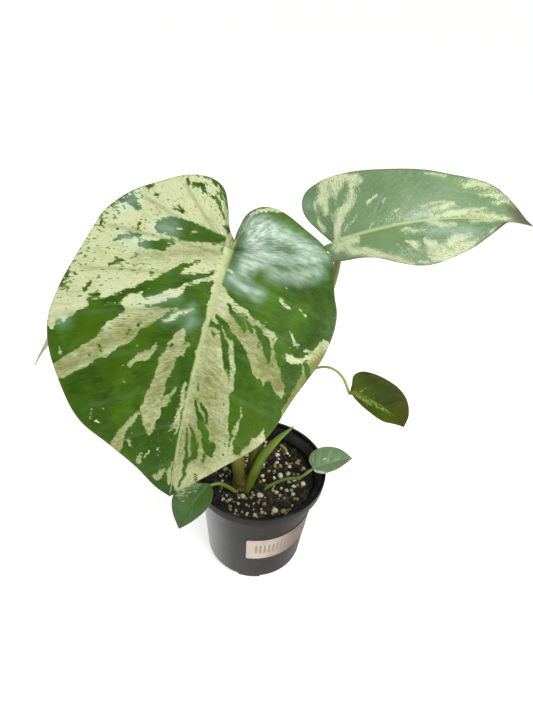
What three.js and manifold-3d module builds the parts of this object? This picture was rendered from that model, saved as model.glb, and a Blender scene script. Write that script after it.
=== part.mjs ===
// A variegated monstera in a round nursery pot. Six heart-shaped leaves stand on stalks that rise
// from one short stem, with a rolled young leaf among them, in potting mix with pale grains.
// Millimetres, +Z up. The origin is the centre of the pot's base, on the surface it stands on.
// The large leaf hangs towards -Y, and +X is on the right of someone who looks along +Y.
import * as THREE from "three";
import { mergeVertices } from "three/addons/utils/BufferGeometryUtils.js";
import Module from "manifold-3d";

const wasm = await Module();
wasm.setup();

// Driving dimensions
const GAP = 0.3; // air between two pieces that rest against each other
const BLADE_THICKNESS = 0.8;

const POT = {
  height: 97.3,
  rimRadius: 55,
  skirtHeight: 9.3,
  bodyTopRadius: 48.2,
  bodyBottomRadius: 41.5,
  wall: 1.5,
  floor: 1.6,
  edgeChamfer: 1.6,
  lipWidth: 1.1,
  ledgeDrop: 3.9,
  ledgeWidth: 2.3,
  skirtThickness: 1.4,
  footHeight: 3,
  footInnerRadius: 36,
  footHalfAngle: 0.24,
  footCount: 4,
  footTurn: -1.62,
  padRadius: 8,
  drainCount: 8,
  drainRadius: 4,
  drainCircle: 28,
  sides: 56,
};

const SOIL = {
  level: 84.4,
  lump: 0.7,
  lumpPitch: [20, 23, 33], // mm from one soft lump to the next: across, back, and on the slant
  rimDip: 1.4,
  sides: 32,
  rings: 7,
  grainCount: 52,
  grainSmallest: 1.3,
  grainLargest: 2.7,
  grainKeepOut: 2.4,
  seed: 4127,
};

const LABEL = {
  height: 26.5,
  startAngle: -97,
  endAngle: -15,
  lowEdge: 32.5,
  rise: 4.5,
  thickness: 0.4,
  steps: 20,
};

const CROWN = {
  x: -12,
  y: -8,
  bottom: 66,
  top: 92,
  radius: 10.6,
  squeeze: 0.9,
};

// Each leaf: where its stalk joins the blade, the direction of its tip (heading in plan, pitch below
// the horizon, roll about the midrib, turn in its own plane), and its bends. droop and bend turn the
// midrib down and sideways over its length, lobe turns it down behind the joint, fold lifts each
// half at the midrib and curl bends it over 100 mm; pairs are left half, right half, in degrees.
// The margins are points (across, along) in mm on the flattened blade, from the joint round the
// lobe to the tip. The stalk's points lead from the stem to just short of the joint.
const LEAVES = [
  {
    name: "large",
    joint: [-23.5, -30, 305.6],
    heading: -100,
    pitch: 52,
    roll: -17,
    turn: -9,
    span: 150,
    droop: 20,
    bend: 12,
    lobe: 15,
    fold: [6, 6],
    curl: [-20, -60],
    wave: [1.0, 52],
    left: [
      [0, 0], [-5, -6], [-9, -15], [-15, -24], [-24, -26.5], [-36, -23], [-49, -14], [-61, -4], [-70, 9],
      [-74, 22], [-79, 38], [-82, 52], [-83, 68], [-79, 84], [-69, 100], [-56, 115], [-38, 126], [-22, 137],
      [-9, 149], [0, 155],
    ],
    right: [
      [0, 0], [0.3, -8], [2, -17], [9, -24], [20, -26], [37, -23], [53, -20], [62, -15], [67, -5], [73, 6],
      [82, 17], [86, 30], [83, 46], [74, 66], [64, 87], [56, 105], [47, 118], [31, 130], [13, 144], [0, 155],
    ],
    rows: 36,
    columns: 7,
    ribRadius: 1.9,
    under: 9,
    stalk: [[-14.8, -10.8, 84], [-17.6, -9.2, 110], [-25, -3, 160], [-31, 1, 220], [-32, -6, 268]],
    stalkRadii: [4.6, 6.2, 4.2, 3.3, 2.8, 2.7, 3.0],
  },
  {
    name: "upper",
    joint: [35, 8, 292.1],
    heading: 0,
    pitch: -22,
    roll: 45,
    turn: 5,
    span: 140,
    droop: 40,
    bend: -20,
    lobe: 10,
    fold: [10, 10],
    curl: [-50, -20],
    wave: [0.7, 44],
    left: [
      [0, 0], [0, -5], [-4, -10], [-10, -9], [-14, 2], [-16, 14], [-19, 24], [-24, 34], [-28.5, 46],
      [-29.5, 57], [-27, 69], [-21.6, 84], [-14, 97], [-5.5, 109], [-1, 116], [0, 124], [0, 137],
    ],
    right: [
      [0, 0], [9.2, -5], [20.4, -9.8], [30.3, -9.8], [37.9, -4], [40.8, 10], [39.7, 25], [35.8, 43],
      [31.8, 64], [27.7, 79], [22.5, 102], [15.8, 114], [9, 123], [3.5, 130], [0, 137],
    ],
    rows: 28,
    columns: 5,
    ribRadius: 1.4,
    under: 8,
    stalk: [
      [-7.8, -4.5, 86], [-6.5, -3, 98], [-4, -1, 115], [1, 2, 140], [9, 4, 170], [20, 6, 205], [34, 9, 240],
      [40, 12, 268],
    ],
    stalkRadii: [3.9, 4.0, 3.8, 3.0, 2.6, 2.3, 2.1, 2.1, 2.2, 2.4],
  },
  {
    name: "right",
    joint: [64.2, 10, 173],
    heading: -8,
    pitch: 19,
    roll: 32,
    turn: 9,
    span: 57,
    droop: 30,
    bend: -24,
    lobe: 10,
    fold: [12, 12],
    curl: [-30, -30],
    wave: [0, 40],
    left: [[0, 0], [-4.8, 5], [-8.5, 12], [-10.5, 19], [-11.5, 27], [-10.5, 35], [-7, 43], [-3.5, 50], [0, 57]],
    right: [[0, 0], [6, 0], [13, 0], [18, 5], [20, 14], [20.5, 25], [20, 36], [16.5, 46], [9, 54], [0, 57]],
    rows: 16,
    columns: 4,
    ribRadius: 0.9,
    under: 4,
    stalk: [
      [-8.5, 2.4, 80], [-4, 7, 100], [0, 11, 118], [8, 14, 142], [20, 16, 168], [33, 17, 185], [46, 16, 190],
      [57, 13.5, 184],
    ],
    stalkRadii: [1.6, 1.8, 1.6, 1.4, 1.2, 1.1, 1.0, 1.0, 1.0, 1.1],
  },
  {
    name: "left",
    joint: [-72, 12, 262],
    heading: -167,
    pitch: 14,
    roll: 0,
    turn: 0,
    span: 122,
    droop: 46,
    bend: 0,
    lobe: 15,
    fold: [30, 30],
    curl: [-20, -20],
    wave: [0, 40],
    left: [
      [0, 0], [-9, -6], [-20, -8], [-29, -1], [-32, 14], [-30, 34], [-24, 56], [-16, 76], [-7, 94], [-2.4, 106],
      [0, 122],
    ],
    right: [
      [0, 0], [9, -6], [20, -8], [29, -1], [32, 14], [31, 34], [26, 56], [18, 76], [9, 94], [2.5, 106],
      [0, 122],
    ],
    rows: 20,
    columns: 4,
    ribRadius: 1.3,
    under: 7,
    stalk: [[-15.5, -1.8, 86], [-19, 3, 110], [-33, 10, 170], [-52, 17, 222], [-64, 18, 246]],
    stalkRadii: [2.4, 2.7, 2.3, 2.0, 1.8, 1.8, 2.0],
  },
  {
    name: "lower",
    joint: [-37.5, -27.5, 101],
    heading: -122,
    pitch: 2,
    roll: 0,
    turn: 0,
    span: 42,
    droop: 62,
    bend: -8,
    lobe: 0,
    fold: [8, 8],
    curl: [-80, -80],
    wave: [0, 40],
    left: [[0, 0], [-8, 5], [-16, 10], [-19.5, 18], [-17.5, 27], [-12, 34], [-5, 39], [0, 42]],
    right: [[0, 0], [7, 4], [11.5, 11], [12, 19], [9.5, 27], [5, 35], [0, 42]],
    rows: 14,
    columns: 3,
    ribRadius: 0.8,
    under: 1.5,
    stalk: [[-14.6, -18.3, 82], [-19, -20, 86.5], [-24.3, -21, 92], [-31, -24, 98]],
    stalkRadii: [1.6, 1.6, 1.5, 1.4, 1.2, 1.1],
  },
  {
    name: "side",
    joint: [42.9, -7.3, 106],
    heading: 10,
    pitch: -22,
    roll: 24,
    turn: 0,
    span: 34,
    droop: 30,
    bend: 0,
    lobe: 0,
    fold: [10, 10],
    curl: [-60, -60],
    wave: [0, 40],
    left: [[0, 0], [-4, 1], [-7, 6], [-7.5, 12], [-6.5, 19], [-3.5, 27], [0, 34]],
    right: [[0, 0], [7, -1], [12, 3], [14, 10], [13, 18], [8.5, 27], [0, 34]],
    rows: 14,
    columns: 3,
    ribRadius: 0.8,
    under: 1.5,
    stalk: [[5.5, -14, 72], [6.2, -13.8, 84], [15.3, -10.5, 89.5], [24, -9.5, 93.5], [33, -10, 96.5], [39, -9, 102]],
    stalkRadii: [1.6, 1.6, 1.5, 1.4, 1.3, 1.2, 1.1, 1.1],
  },
];

const SPEAR = {
  path: [
    [-8.6, -17.2, 78], [-8.4, -16.6, 84.5], [-4.9, -13.6, 96], [1.1, -8.1, 112.6], [6.6, -5.3, 121.5],
    [14.6, 0.2, 129.5], [24.7, 5.1, 137.7],
  ],
  radii: [2.4, 3.5, 4.1, 4.2, 3.5, 2.2, 0.5],
};

// Small helpers
const radians = THREE.MathUtils.degToRad;
const vector = (xyz) => new THREE.Vector3(...xyz);

// A closed geometry as a solid with its faces out; position is the only attribute it needs.
function solidOf(geometry) {
  const bare = geometry.clone();
  bare.deleteAttribute("normal");
  bare.deleteAttribute("uv");
  const merged = mergeVertices(bare, 1e-4);
  const corners = Array.from(merged.index.array);
  const kept = [];
  for (let i = 0; i < corners.length; i += 3) {
    const [a, b, c] = corners.slice(i, i + 3);
    if (a !== b && b !== c && c !== a) kept.push(a, b, c);
  }
  const build = (triVerts) =>
    new wasm.Manifold(
      new wasm.Mesh({ numProp: 3, vertProperties: merged.attributes.position.array, triVerts }),
    );
  const made = build(new Uint32Array(kept));
  return made.volume() > 0 ? made : build(new Uint32Array(kept.reverse()));
}

// The largest body of a solid that a cut may have left in pieces.
function mainBody(solid) {
  return solid.decompose().reduce((best, body) => (body.volume() > best.volume() ? body : best));
}

function meshOf(name, solid, material) {
  const { vertProperties, triVerts } = solid.getMesh();
  const geometry = new THREE.BufferGeometry();
  geometry.setAttribute("position", new THREE.BufferAttribute(new Float32Array(vertProperties), 3));
  geometry.setIndex(new THREE.BufferAttribute(new Uint32Array(triVerts), 1));
  geometry.computeVertexNormals();
  const mesh = new THREE.Mesh(geometry, material);
  mesh.name = name;
  return mesh;
}

function finish(color, roughness) {
  return new THREE.MeshStandardMaterial({ color, roughness, metalness: 0 });
}

// Random numbers from 0 to 1, the same on each run: each draw multiplies the last one by 16807 and
// keeps the remainder.
function draws(seed) {
  let state = seed;
  return () => {
    state = (state * 16807) % 2147483647;
    return state / 2147483647;
  };
}

// A profile of (radius, height) points turned about the Z axis.
function turned(points, sides) {
  const profile = points.map(([radius, height]) => new THREE.Vector2(radius, height));
  return new THREE.LatheGeometry(profile, sides).rotateX(Math.PI / 2);
}

// A round stem along a curve, with radii spaced evenly over its length, closed at both ends.
function stem(path, radii, sides, extra = 0) {
  const curve = new THREE.CatmullRomCurve3(path, false, "catmullrom", 0.5);
  const rings = Math.round(THREE.MathUtils.clamp(curve.getLength() / 8, 6, 22));
  const { normals, binormals } = curve.computeFrenetFrames(rings, false);
  const positions = [];
  const index = [];
  for (let ring = 0; ring <= rings; ring++) {
    const share = ring / rings;
    const centre = curve.getPointAt(share);
    const place = share * (radii.length - 1);
    const low = Math.min(Math.floor(place), radii.length - 2);
    const radius = THREE.MathUtils.lerp(radii[low], radii[low + 1], place - low) + extra;
    for (let side = 0; side < sides; side++) {
      const angle = (2 * Math.PI * side) / sides;
      const point = centre
        .clone()
        .addScaledVector(normals[ring], radius * Math.cos(angle))
        .addScaledVector(binormals[ring], radius * Math.sin(angle));
      positions.push(...point);
    }
  }
  const at = (ring, side) => ring * sides + (side % sides);
  for (let ring = 0; ring < rings; ring++)
    for (let side = 0; side < sides; side++) {
      index.push(at(ring, side), at(ring, side + 1), at(ring + 1, side + 1));
      index.push(at(ring, side), at(ring + 1, side + 1), at(ring + 1, side));
    }
  for (let side = 1; side < sides - 1; side++) {
    index.push(at(0, 0), at(0, side + 1), at(0, side));
    index.push(at(rings, 0), at(rings, side), at(rings, side + 1));
  }
  const geometry = new THREE.BufferGeometry();
  geometry.setAttribute("position", new THREE.Float32BufferAttribute(positions, 3));
  geometry.setIndex(index);
  return solidOf(geometry);
}

// Leaf blades
// The curved middle surface of a blade: a point is named by its distance along the midrib from the
// joint and its distance across it, both as measured on the flattened blade.
class Blade {
  constructor(leaf) {
    this.leaf = leaf;
    const heading = radians(leaf.heading);
    const pitch = radians(leaf.pitch);
    const roll = radians(leaf.roll);
    const turn = radians(leaf.turn);
    const forward = new THREE.Vector3(
      Math.cos(heading) * Math.cos(pitch),
      Math.sin(heading) * Math.cos(pitch),
      -Math.sin(pitch),
    );
    const level = new THREE.Vector3(-Math.sin(heading), Math.cos(heading), 0);
    const up = forward.clone().cross(level);
    const side = level.clone().multiplyScalar(Math.cos(roll)).addScaledVector(up, Math.sin(roll));
    this.normal0 = up.multiplyScalar(Math.cos(roll)).addScaledVector(level, -Math.sin(roll));
    this.forward0 = forward.clone().multiplyScalar(Math.cos(turn)).addScaledVector(side, Math.sin(turn));
    this.side0 = side.multiplyScalar(Math.cos(turn)).addScaledVector(forward, -Math.sin(turn));
    this.traceMidrib();
  }

  // The midrib's direction, the direction across it and the blade's normal at a distance along it.
  frame(along) {
    const { span, droop, bend, lobe } = this.leaf;
    const share = along / span;
    const down = radians(share > 0 ? droop : lobe) * share;
    const sideways = radians(bend) * share;
    const forward = this.forward0
      .clone()
      .multiplyScalar(Math.cos(down) * Math.cos(sideways))
      .addScaledVector(this.side0, Math.cos(down) * Math.sin(sideways))
      .addScaledVector(this.normal0, -Math.sin(down));
    const across = this.side0
      .clone()
      .multiplyScalar(Math.cos(sideways))
      .addScaledVector(this.forward0, -Math.sin(sideways));
    return { forward, across, normal: forward.clone().cross(across) };
  }

  // The midrib is added up from millimetre steps, forwards to the tip and backwards into the lobes.
  traceMidrib() {
    this.reach = Math.ceil(this.leaf.span * 1.1);
    this.midrib = new Map([[0, vector(this.leaf.joint)]]);
    for (const step of [1, -1])
      for (let i = 0; Math.abs(i) < this.reach; i += step) {
        const next = this.midrib.get(i).clone().addScaledVector(this.frame(i + step / 2).forward, step);
        this.midrib.set(i + step, next);
      }
  }

  point(along, across) {
    const { fold, curl, wave } = this.leaf;
    const half = across > 0 ? 1 : 0;
    const lift = radians(fold[half]);
    const bendPerMm = radians(curl[half]) / 100;
    const distance = Math.abs(across);
    const end = lift + bendPerMm * distance;
    const out = (Math.sin(end) - Math.sin(lift)) / bendPerMm;
    const ripple = wave[0] * (distance / 60) ** 2 * Math.sin((2 * Math.PI * along) / wave[1] + half);
    const rise = (Math.cos(lift) - Math.cos(end)) / bendPerMm + ripple;
    const low = THREE.MathUtils.clamp(Math.floor(along), -this.reach, this.reach - 1);
    const { across: sideways, normal } = this.frame(along);
    return this.midrib
      .get(low)
      .clone()
      .lerp(this.midrib.get(low + 1), along - low)
      .addScaledVector(sideways, Math.sign(across) * out)
      .addScaledVector(normal, rise);
  }

  normalAt(along, across) {
    const step = 0.5;
    const alongStep = this.point(along + step, across).sub(this.point(along - step, across));
    const acrossStep = this.point(along, across + step).sub(this.point(along, across - step));
    return alongStep.cross(acrossStep).normalize();
  }

  // Rows fan out from a point just below the joint to the lobes, and then leave the midrib in turn,
  // as the side veins do.
  rowRoot(share) {
    const tip = this.leaf.left.at(-1)[1];
    const fanShare = 0.33;
    const start = 0.035 * tip;
    const passed = Math.max(0, (share - fanShare) / (1 - fanShare));
    return start + (tip - start) * passed ** 1.3;
  }

  // The blade as a solid sheet: two like grids of triangles joined round the margin, and the midrib
  // as a ridge under it. extra makes it thicker on every face, for cutting what meets it.
  solid(extra = 0) {
    const { rows, columns } = this.leaf;
    const known = new Map();
    const places = [];
    const vertex = (along, across) => {
      const key = along.toFixed(3) + " " + (across || 0).toFixed(3);
      if (!known.has(key)) {
        known.set(key, places.length);
        places.push([along, across || 0]);
      }
      return known.get(key);
    };
    const faces = [];
    const margin = [];
    for (const [outline, turnsLeft] of [[this.leaf.left, true], [this.leaf.right, false]]) {
      const curve = new THREE.SplineCurve(outline.map((pair) => new THREE.Vector2(...pair)));
      const edge = curve.getSpacedPoints(rows);
      const grid = edge.map((end, row) => {
        const root = this.rowRoot(row / rows);
        return Array.from({ length: columns + 1 }, (_, column) => {
          const share = column / columns;
          return vertex(root + (end.y - root) * share, end.x * share);
        });
      });
      for (let row = 0; row < rows; row++) {
        for (let column = 0; column < columns; column++) {
          const [a, b] = [grid[row][column], grid[row][column + 1]];
          const [d, c] = [grid[row + 1][column], grid[row + 1][column + 1]];
          for (const corners of [[a, b, c], [a, c, d]])
            faces.push(turnsLeft ? corners : corners.toReversed());
        }
        const pair = [grid[row][columns], grid[row + 1][columns]];
        margin.push(turnsLeft ? pair : pair.toReversed());
      }
    }
    const half = BLADE_THICKNESS / 2 + extra;
    const positions = [];
    for (const offset of [half, -half])
      for (const [along, across] of places)
        positions.push(...this.point(along, across).addScaledVector(this.normalAt(along, across), offset));
    const under = places.length;
    const index = [];
    for (const [a, b, c] of faces) {
      if (a === b || b === c || c === a) continue;
      index.push(a, b, c, c + under, b + under, a + under);
    }
    for (const [a, b] of margin) index.push(b, a, a + under, b, a + under, b + under);
    const geometry = new THREE.BufferGeometry();
    geometry.setAttribute("position", new THREE.Float32BufferAttribute(positions, 3));
    geometry.setIndex(index);
    return solidOf(geometry).add(this.rib(extra));
  }

  rib(extra) {
    const { ribRadius } = this.leaf;
    const tip = this.leaf.left.at(-1)[1];
    const count = 6;
    const radii = [];
    const path = [];
    for (let i = 0; i <= count; i++) {
      const along = THREE.MathUtils.lerp(0.03 * tip, 0.85 * tip, i / count);
      const radius = ribRadius * (1 - (0.62 * i) / count);
      radii.push(radius);
      path.push(this.point(along, 0).addScaledVector(this.normalAt(along, 0), -radius));
    }
    return stem(path, radii, 6, extra);
  }

  // The stalk's curve: its own points, a point under the blade and its end at the middle surface.
  stalkPath() {
    const inset = 0.02 * this.leaf.span;
    const end = this.point(inset, 0);
    const bendPoint = end.clone().addScaledVector(this.normalAt(inset, 0), -this.leaf.under);
    return [...this.leaf.stalk.map(vector), bendPoint, end];
  }

  stalk(extra = 0) {
    return stem(this.stalkPath(), this.leaf.stalkRadii, 8, extra);
  }
}

// Pot
// One profile, round the outside from the floor to the lip and back down the inside. Under the lip
// the collar is a thin skirt that stands clear of the body, and inside it has a ledge.
function potBody() {
  const { height, rimRadius, skirtHeight, bodyTopRadius, bodyBottomRadius, wall, floor, footHeight } = POT;
  const { edgeChamfer, lipWidth, ledgeDrop, ledgeWidth, skirtThickness, sides } = POT;
  const skirtLow = height - skirtHeight;
  const skirtRadius = rimRadius - 0.8;
  const ledge = height - ledgeDrop;
  const ledgeRadius = rimRadius - 1.9;
  const floorTop = footHeight + floor;
  const profile = [
    [0, footHeight],
    [bodyBottomRadius - edgeChamfer, footHeight],
    [bodyBottomRadius, footHeight + edgeChamfer],
    [bodyTopRadius, skirtLow - 0.4],
    [bodyTopRadius + 2, ledge - wall],
    [skirtRadius - skirtThickness - 0.1, ledge - wall],
    [skirtRadius - skirtThickness, skirtLow],
    [skirtRadius, skirtLow],
    [rimRadius, height - 0.7],
    [rimRadius - 0.4, height],
    [rimRadius - 0.4 - lipWidth, height],
    [ledgeRadius, ledge],
    [ledgeRadius - ledgeWidth, ledge],
    [bodyTopRadius - wall, skirtLow - 0.8],
    [bodyBottomRadius - wall + 0.1, floorTop],
    [0, floorTop],
  ];
  return solidOf(turned(profile, sides));
}

function potFeet() {
  const { bodyBottomRadius, footInnerRadius, footHeight, footHalfAngle, footCount, footTurn, padRadius } = POT;
  const intoFloor = 0.8;
  const shapes = [];
  for (let foot = 0; foot < footCount; foot++) {
    const middle = footTurn + (2 * Math.PI * foot) / footCount;
    const shape = new THREE.Shape();
    shape.absarc(0, 0, bodyBottomRadius - 1.8, middle - footHalfAngle, middle + footHalfAngle, false);
    shape.absarc(0, 0, footInnerRadius, middle + footHalfAngle, middle - footHalfAngle, true);
    shape.closePath();
    shapes.push(shape);
  }
  const pad = new THREE.Shape();
  pad.absarc(0, 0, padRadius, 0, 2 * Math.PI, false);
  shapes.push(pad);
  const options = { depth: footHeight + intoFloor, bevelEnabled: false, curveSegments: 5 };
  return shapes.map((shape) => solidOf(new THREE.ExtrudeGeometry(shape, options)));
}

function pot() {
  const { drainCount, drainRadius, drainCircle, footHeight, footTurn } = POT;
  let body = potFeet().reduce((sum, foot) => sum.add(foot), potBody());
  for (let drain = 0; drain < drainCount; drain++) {
    const angle = footTurn + (2 * Math.PI * (drain + 0.5)) / drainCount;
    const hole = new THREE.CylinderGeometry(drainRadius, drainRadius, 8, 10).rotateX(Math.PI / 2);
    hole.translate(drainCircle * Math.cos(angle), drainCircle * Math.sin(angle), footHeight);
    body = body.subtract(solidOf(hole));
  }
  return body;
}

// The radius of the pot body's outside at a height.
function bodyRadius(height) {
  const low = POT.footHeight + POT.edgeChamfer;
  const high = POT.height - POT.skirtHeight - 0.4;
  return THREE.MathUtils.mapLinear(height, low, high, POT.bodyBottomRadius, POT.bodyTopRadius);
}

// A paper label that follows the pot's side and climbs a little towards its right end.
function label() {
  const { height, startAngle, endAngle, lowEdge, rise, thickness, steps } = LABEL;
  const positions = [];
  const index = [];
  for (let step = 0; step <= steps; step++) {
    const share = step / steps;
    const angle = radians(THREE.MathUtils.lerp(startAngle, endAngle, share));
    const low = lowEdge + rise * share;
    for (const [level, out] of [[low, 0], [low, thickness], [low + height, thickness], [low + height, 0]]) {
      const radius = bodyRadius(level) + GAP + out;
      positions.push(radius * Math.cos(angle), radius * Math.sin(angle), level);
    }
  }
  for (let step = 0; step < steps; step++)
    for (let corner = 0; corner < 4; corner++) {
      const [a, b] = [4 * step + corner, 4 * step + ((corner + 1) % 4)];
      index.push(a, a + 4, b + 4, a, b + 4, b);
    }
  const last = 4 * steps;
  index.push(0, 1, 2, 0, 2, 3, last, last + 2, last + 1, last, last + 3, last + 2);
  const geometry = new THREE.BufferGeometry();
  geometry.setAttribute("position", new THREE.Float32BufferAttribute(positions, 3));
  geometry.setIndex(index);
  return solidOf(geometry);
}

// Potting mix
// The height of the mix: soft lumps, and a dip towards the pot's wall.
function soilHeight(x, y) {
  const [across, back, slant] = SOIL.lumpPitch.map((pitch) => (2 * Math.PI) / pitch);
  const lumps = Math.sin(across * x + 0.8) * Math.cos(back * y - 0.4) + 0.6 * Math.sin(slant * (x - y));
  return SOIL.level + SOIL.lump * lumps - SOIL.rimDip * (Math.hypot(x, y) / POT.bodyTopRadius) ** 3;
}

function soilBody() {
  const topRadius = bodyRadius(SOIL.level) - POT.wall - GAP - 0.2;
  const floor = POT.footHeight + POT.floor + GAP;
  const profile = [[0, floor], [bodyRadius(floor) - POT.wall - GAP - 0.3, floor]];
  for (let ring = 0; ring <= SOIL.rings; ring++)
    profile.push([topRadius * (1 - ring / SOIL.rings), SOIL.level]);
  const geometry = turned(profile, SOIL.sides);
  const position = geometry.attributes.position;
  for (let i = 0; i < position.count; i++)
    if (position.getZ(i) > SOIL.level - 1)
      position.setZ(i, soilHeight(position.getX(i), position.getY(i)));
  return solidOf(geometry);
}

// Pale grains sunk in the surface, drawn one by one, each kept off the stems and the other grains.
function grains(stemPoints) {
  const draw = draws(SOIL.seed);
  const placed = [];
  while (placed.length < SOIL.grainCount) {
    const reach = (POT.bodyTopRadius - POT.wall - 5) * Math.sqrt(draw());
    const angle = 2 * Math.PI * draw();
    const radius = THREE.MathUtils.lerp(SOIL.grainSmallest, SOIL.grainLargest, draw() ** 1.5);
    const turn = Math.PI * draw();
    const [x, y] = [reach * Math.cos(angle), reach * Math.sin(angle)];
    const z = soilHeight(x, y) + 0.2 * radius;
    const clearOfStems = stemPoints.every(
      ([point, stemRadius]) => Math.hypot(x - point.x, y - point.y, z - point.z) > radius + stemRadius + 0.8,
    );
    const apart = placed.every((other) => Math.hypot(x - other.x, y - other.y) > SOIL.grainKeepOut + radius);
    if (clearOfStems && apart) placed.push({ x, y, z, radius, turn });
  }
  return placed;
}

function soil(stemPoints, cuts) {
  let body = soilBody();
  for (const { x, y, z, radius, turn } of grains(stemPoints)) {
    const grain = new THREE.IcosahedronGeometry(radius, 0);
    grain.scale(1.1, 0.9, 0.8).rotateZ(turn).rotateX(turn / 2).translate(x, y, z);
    body = body.add(solidOf(grain));
  }
  return mainBody(cuts.reduce((rest, cut) => rest.subtract(cut), body));
}

// The short thick stem at soil level, as (radius, height) shares of its size. The rings on it are old
// leaf scars. extra makes it larger on every side, for cutting the mix round it.
function crown(extra = 0) {
  const { x, y, bottom, top, radius, squeeze } = CROWN;
  const shape = [
    [0, 0], [0.6, 0.02], [0.92, 0.25], [1, 0.36], [0.95, 0.42], [0.99, 0.6], [1.03, 0.67], [0.95, 0.72],
    [0.72, 0.9], [0.4, 0.98], [0, 1],
  ];
  const profile = shape.map(([out, share]) => [
    out > 0 ? radius * out + extra : 0,
    THREE.MathUtils.lerp(bottom - extra, top + extra, share),
  ]);
  return solidOf(turned(profile, 24).scale(squeeze, 1, 1).translate(x, y, 0));
}

// Assembly
const FINISHES = {
  pot: finish(0x2a2b2c, 0.45),
  soil: finish(0x2e241d, 0.95),
  label: finish(0xe9dcd6, 0.7),
  crown: finish(0x6b6a3a, 0.6),
  stalk: finish(0x5f7d2c, 0.5),
  blade: finish(0x4f7d3f, 0.4),
};

const blades = LEAVES.map((leaf) => new Blade(leaf));
const spearPath = SPEAR.path.map(vector);
const stemCuts = [...blades.map((blade) => blade.stalk(GAP)), stem(spearPath, SPEAR.radii, 8, GAP)];

// Points along each stem, with its radius low down, and up the crown's axis: grains keep off them.
const stemPoints = [];
const stems = [...blades.map((blade) => [blade.stalkPath(), blade.leaf.stalkRadii]), [spearPath, SPEAR.radii]];
for (const [path, radii] of stems) {
  const curve = new THREE.CatmullRomCurve3(path, false, "catmullrom", 0.5);
  for (const point of curve.getSpacedPoints(60)) stemPoints.push([point, radii[1]]);
}
for (let level = SOIL.level - 4; level < SOIL.level + 6; level += 2)
  stemPoints.push([new THREE.Vector3(CROWN.x, CROWN.y, level), CROWN.radius]);

const crownBody = mainBody(stemCuts.reduce((rest, cut) => rest.subtract(cut), crown()));

const plant = new THREE.Group();
plant.add(meshOf("pot", pot(), FINISHES.pot));
plant.add(meshOf("pot_label", label(), FINISHES.label));
plant.add(meshOf("soil", soil(stemPoints, [crown(GAP), ...stemCuts]), FINISHES.soil));
plant.add(meshOf("crown", crownBody, FINISHES.crown));
for (const blade of blades) {
  const stalk = mainBody(blade.stalk().subtract(blade.solid(GAP)));
  plant.add(meshOf("stalk_" + blade.leaf.name, stalk, FINISHES.stalk));
  plant.add(meshOf("leaf_" + blade.leaf.name, blade.solid(), FINISHES.blade));
}
plant.add(meshOf("spear", stem(spearPath, SPEAR.radii, 8), FINISHES.stalk));

export default plant;
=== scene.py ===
"""A variegated monstera in a round nursery pot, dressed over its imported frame.

Sizes are millimetres in the part's own frame: the origin is the centre of the pot's base, +Z is up,
+X is on the viewer's right and the viewer looks along +Y. Meshes are written in metres.
"""

import logging
import math
from dataclasses import dataclass, field
from enum import Enum
from typing import Any, Iterator, Optional, Sequence, Union

import bpy
import numpy as np
from mathutils import Matrix


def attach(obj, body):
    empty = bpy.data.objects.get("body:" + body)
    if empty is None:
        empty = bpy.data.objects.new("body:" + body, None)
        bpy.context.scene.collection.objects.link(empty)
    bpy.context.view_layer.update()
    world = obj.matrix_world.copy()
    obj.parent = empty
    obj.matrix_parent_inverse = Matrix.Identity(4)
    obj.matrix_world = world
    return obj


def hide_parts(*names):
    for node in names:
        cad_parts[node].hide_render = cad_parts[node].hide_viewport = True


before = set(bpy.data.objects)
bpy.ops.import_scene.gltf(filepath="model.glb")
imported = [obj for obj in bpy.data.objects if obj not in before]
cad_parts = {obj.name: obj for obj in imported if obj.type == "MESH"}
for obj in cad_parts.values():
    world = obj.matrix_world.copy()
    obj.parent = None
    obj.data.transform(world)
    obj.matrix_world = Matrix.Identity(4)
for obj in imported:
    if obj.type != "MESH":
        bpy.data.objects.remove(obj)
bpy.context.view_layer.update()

LOG = logging.getLogger("monstera")
METRES_PER_MM = 0.001
BODY = "root"
PATTERN = "pattern"
WELD_MM = 1e-3
SHARP_DEGREES = 50

Point = tuple[float, float, float]
Pair = tuple[float, float]
Array = np.ndarray
Material = bpy.types.Material


# Curves and grids


def unit(vectors: Array) -> Array:
    """Scales vectors to a length of one."""
    return vectors / np.linalg.norm(vectors, axis=-1, keepdims=True)


def bearing(azimuth: float, elevation: float) -> Array:
    """The unit vector (cos a cos e, sin a cos e, sin e), with a and e in degrees."""
    turn, climb = np.radians([azimuth, elevation])
    level = math.cos(climb)
    return np.array([math.cos(turn) * level, math.sin(turn) * level, math.sin(climb)])


def ease(low: Any, high: Any, values: Array) -> Array:
    """Rises smoothly from 0 at low to 1 at high: s x s x (3 - 2s), with s the clamped share."""
    share = np.clip((values - low) / (high - low), 0.0, 1.0)
    return share * share * (3 - 2 * share)


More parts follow.
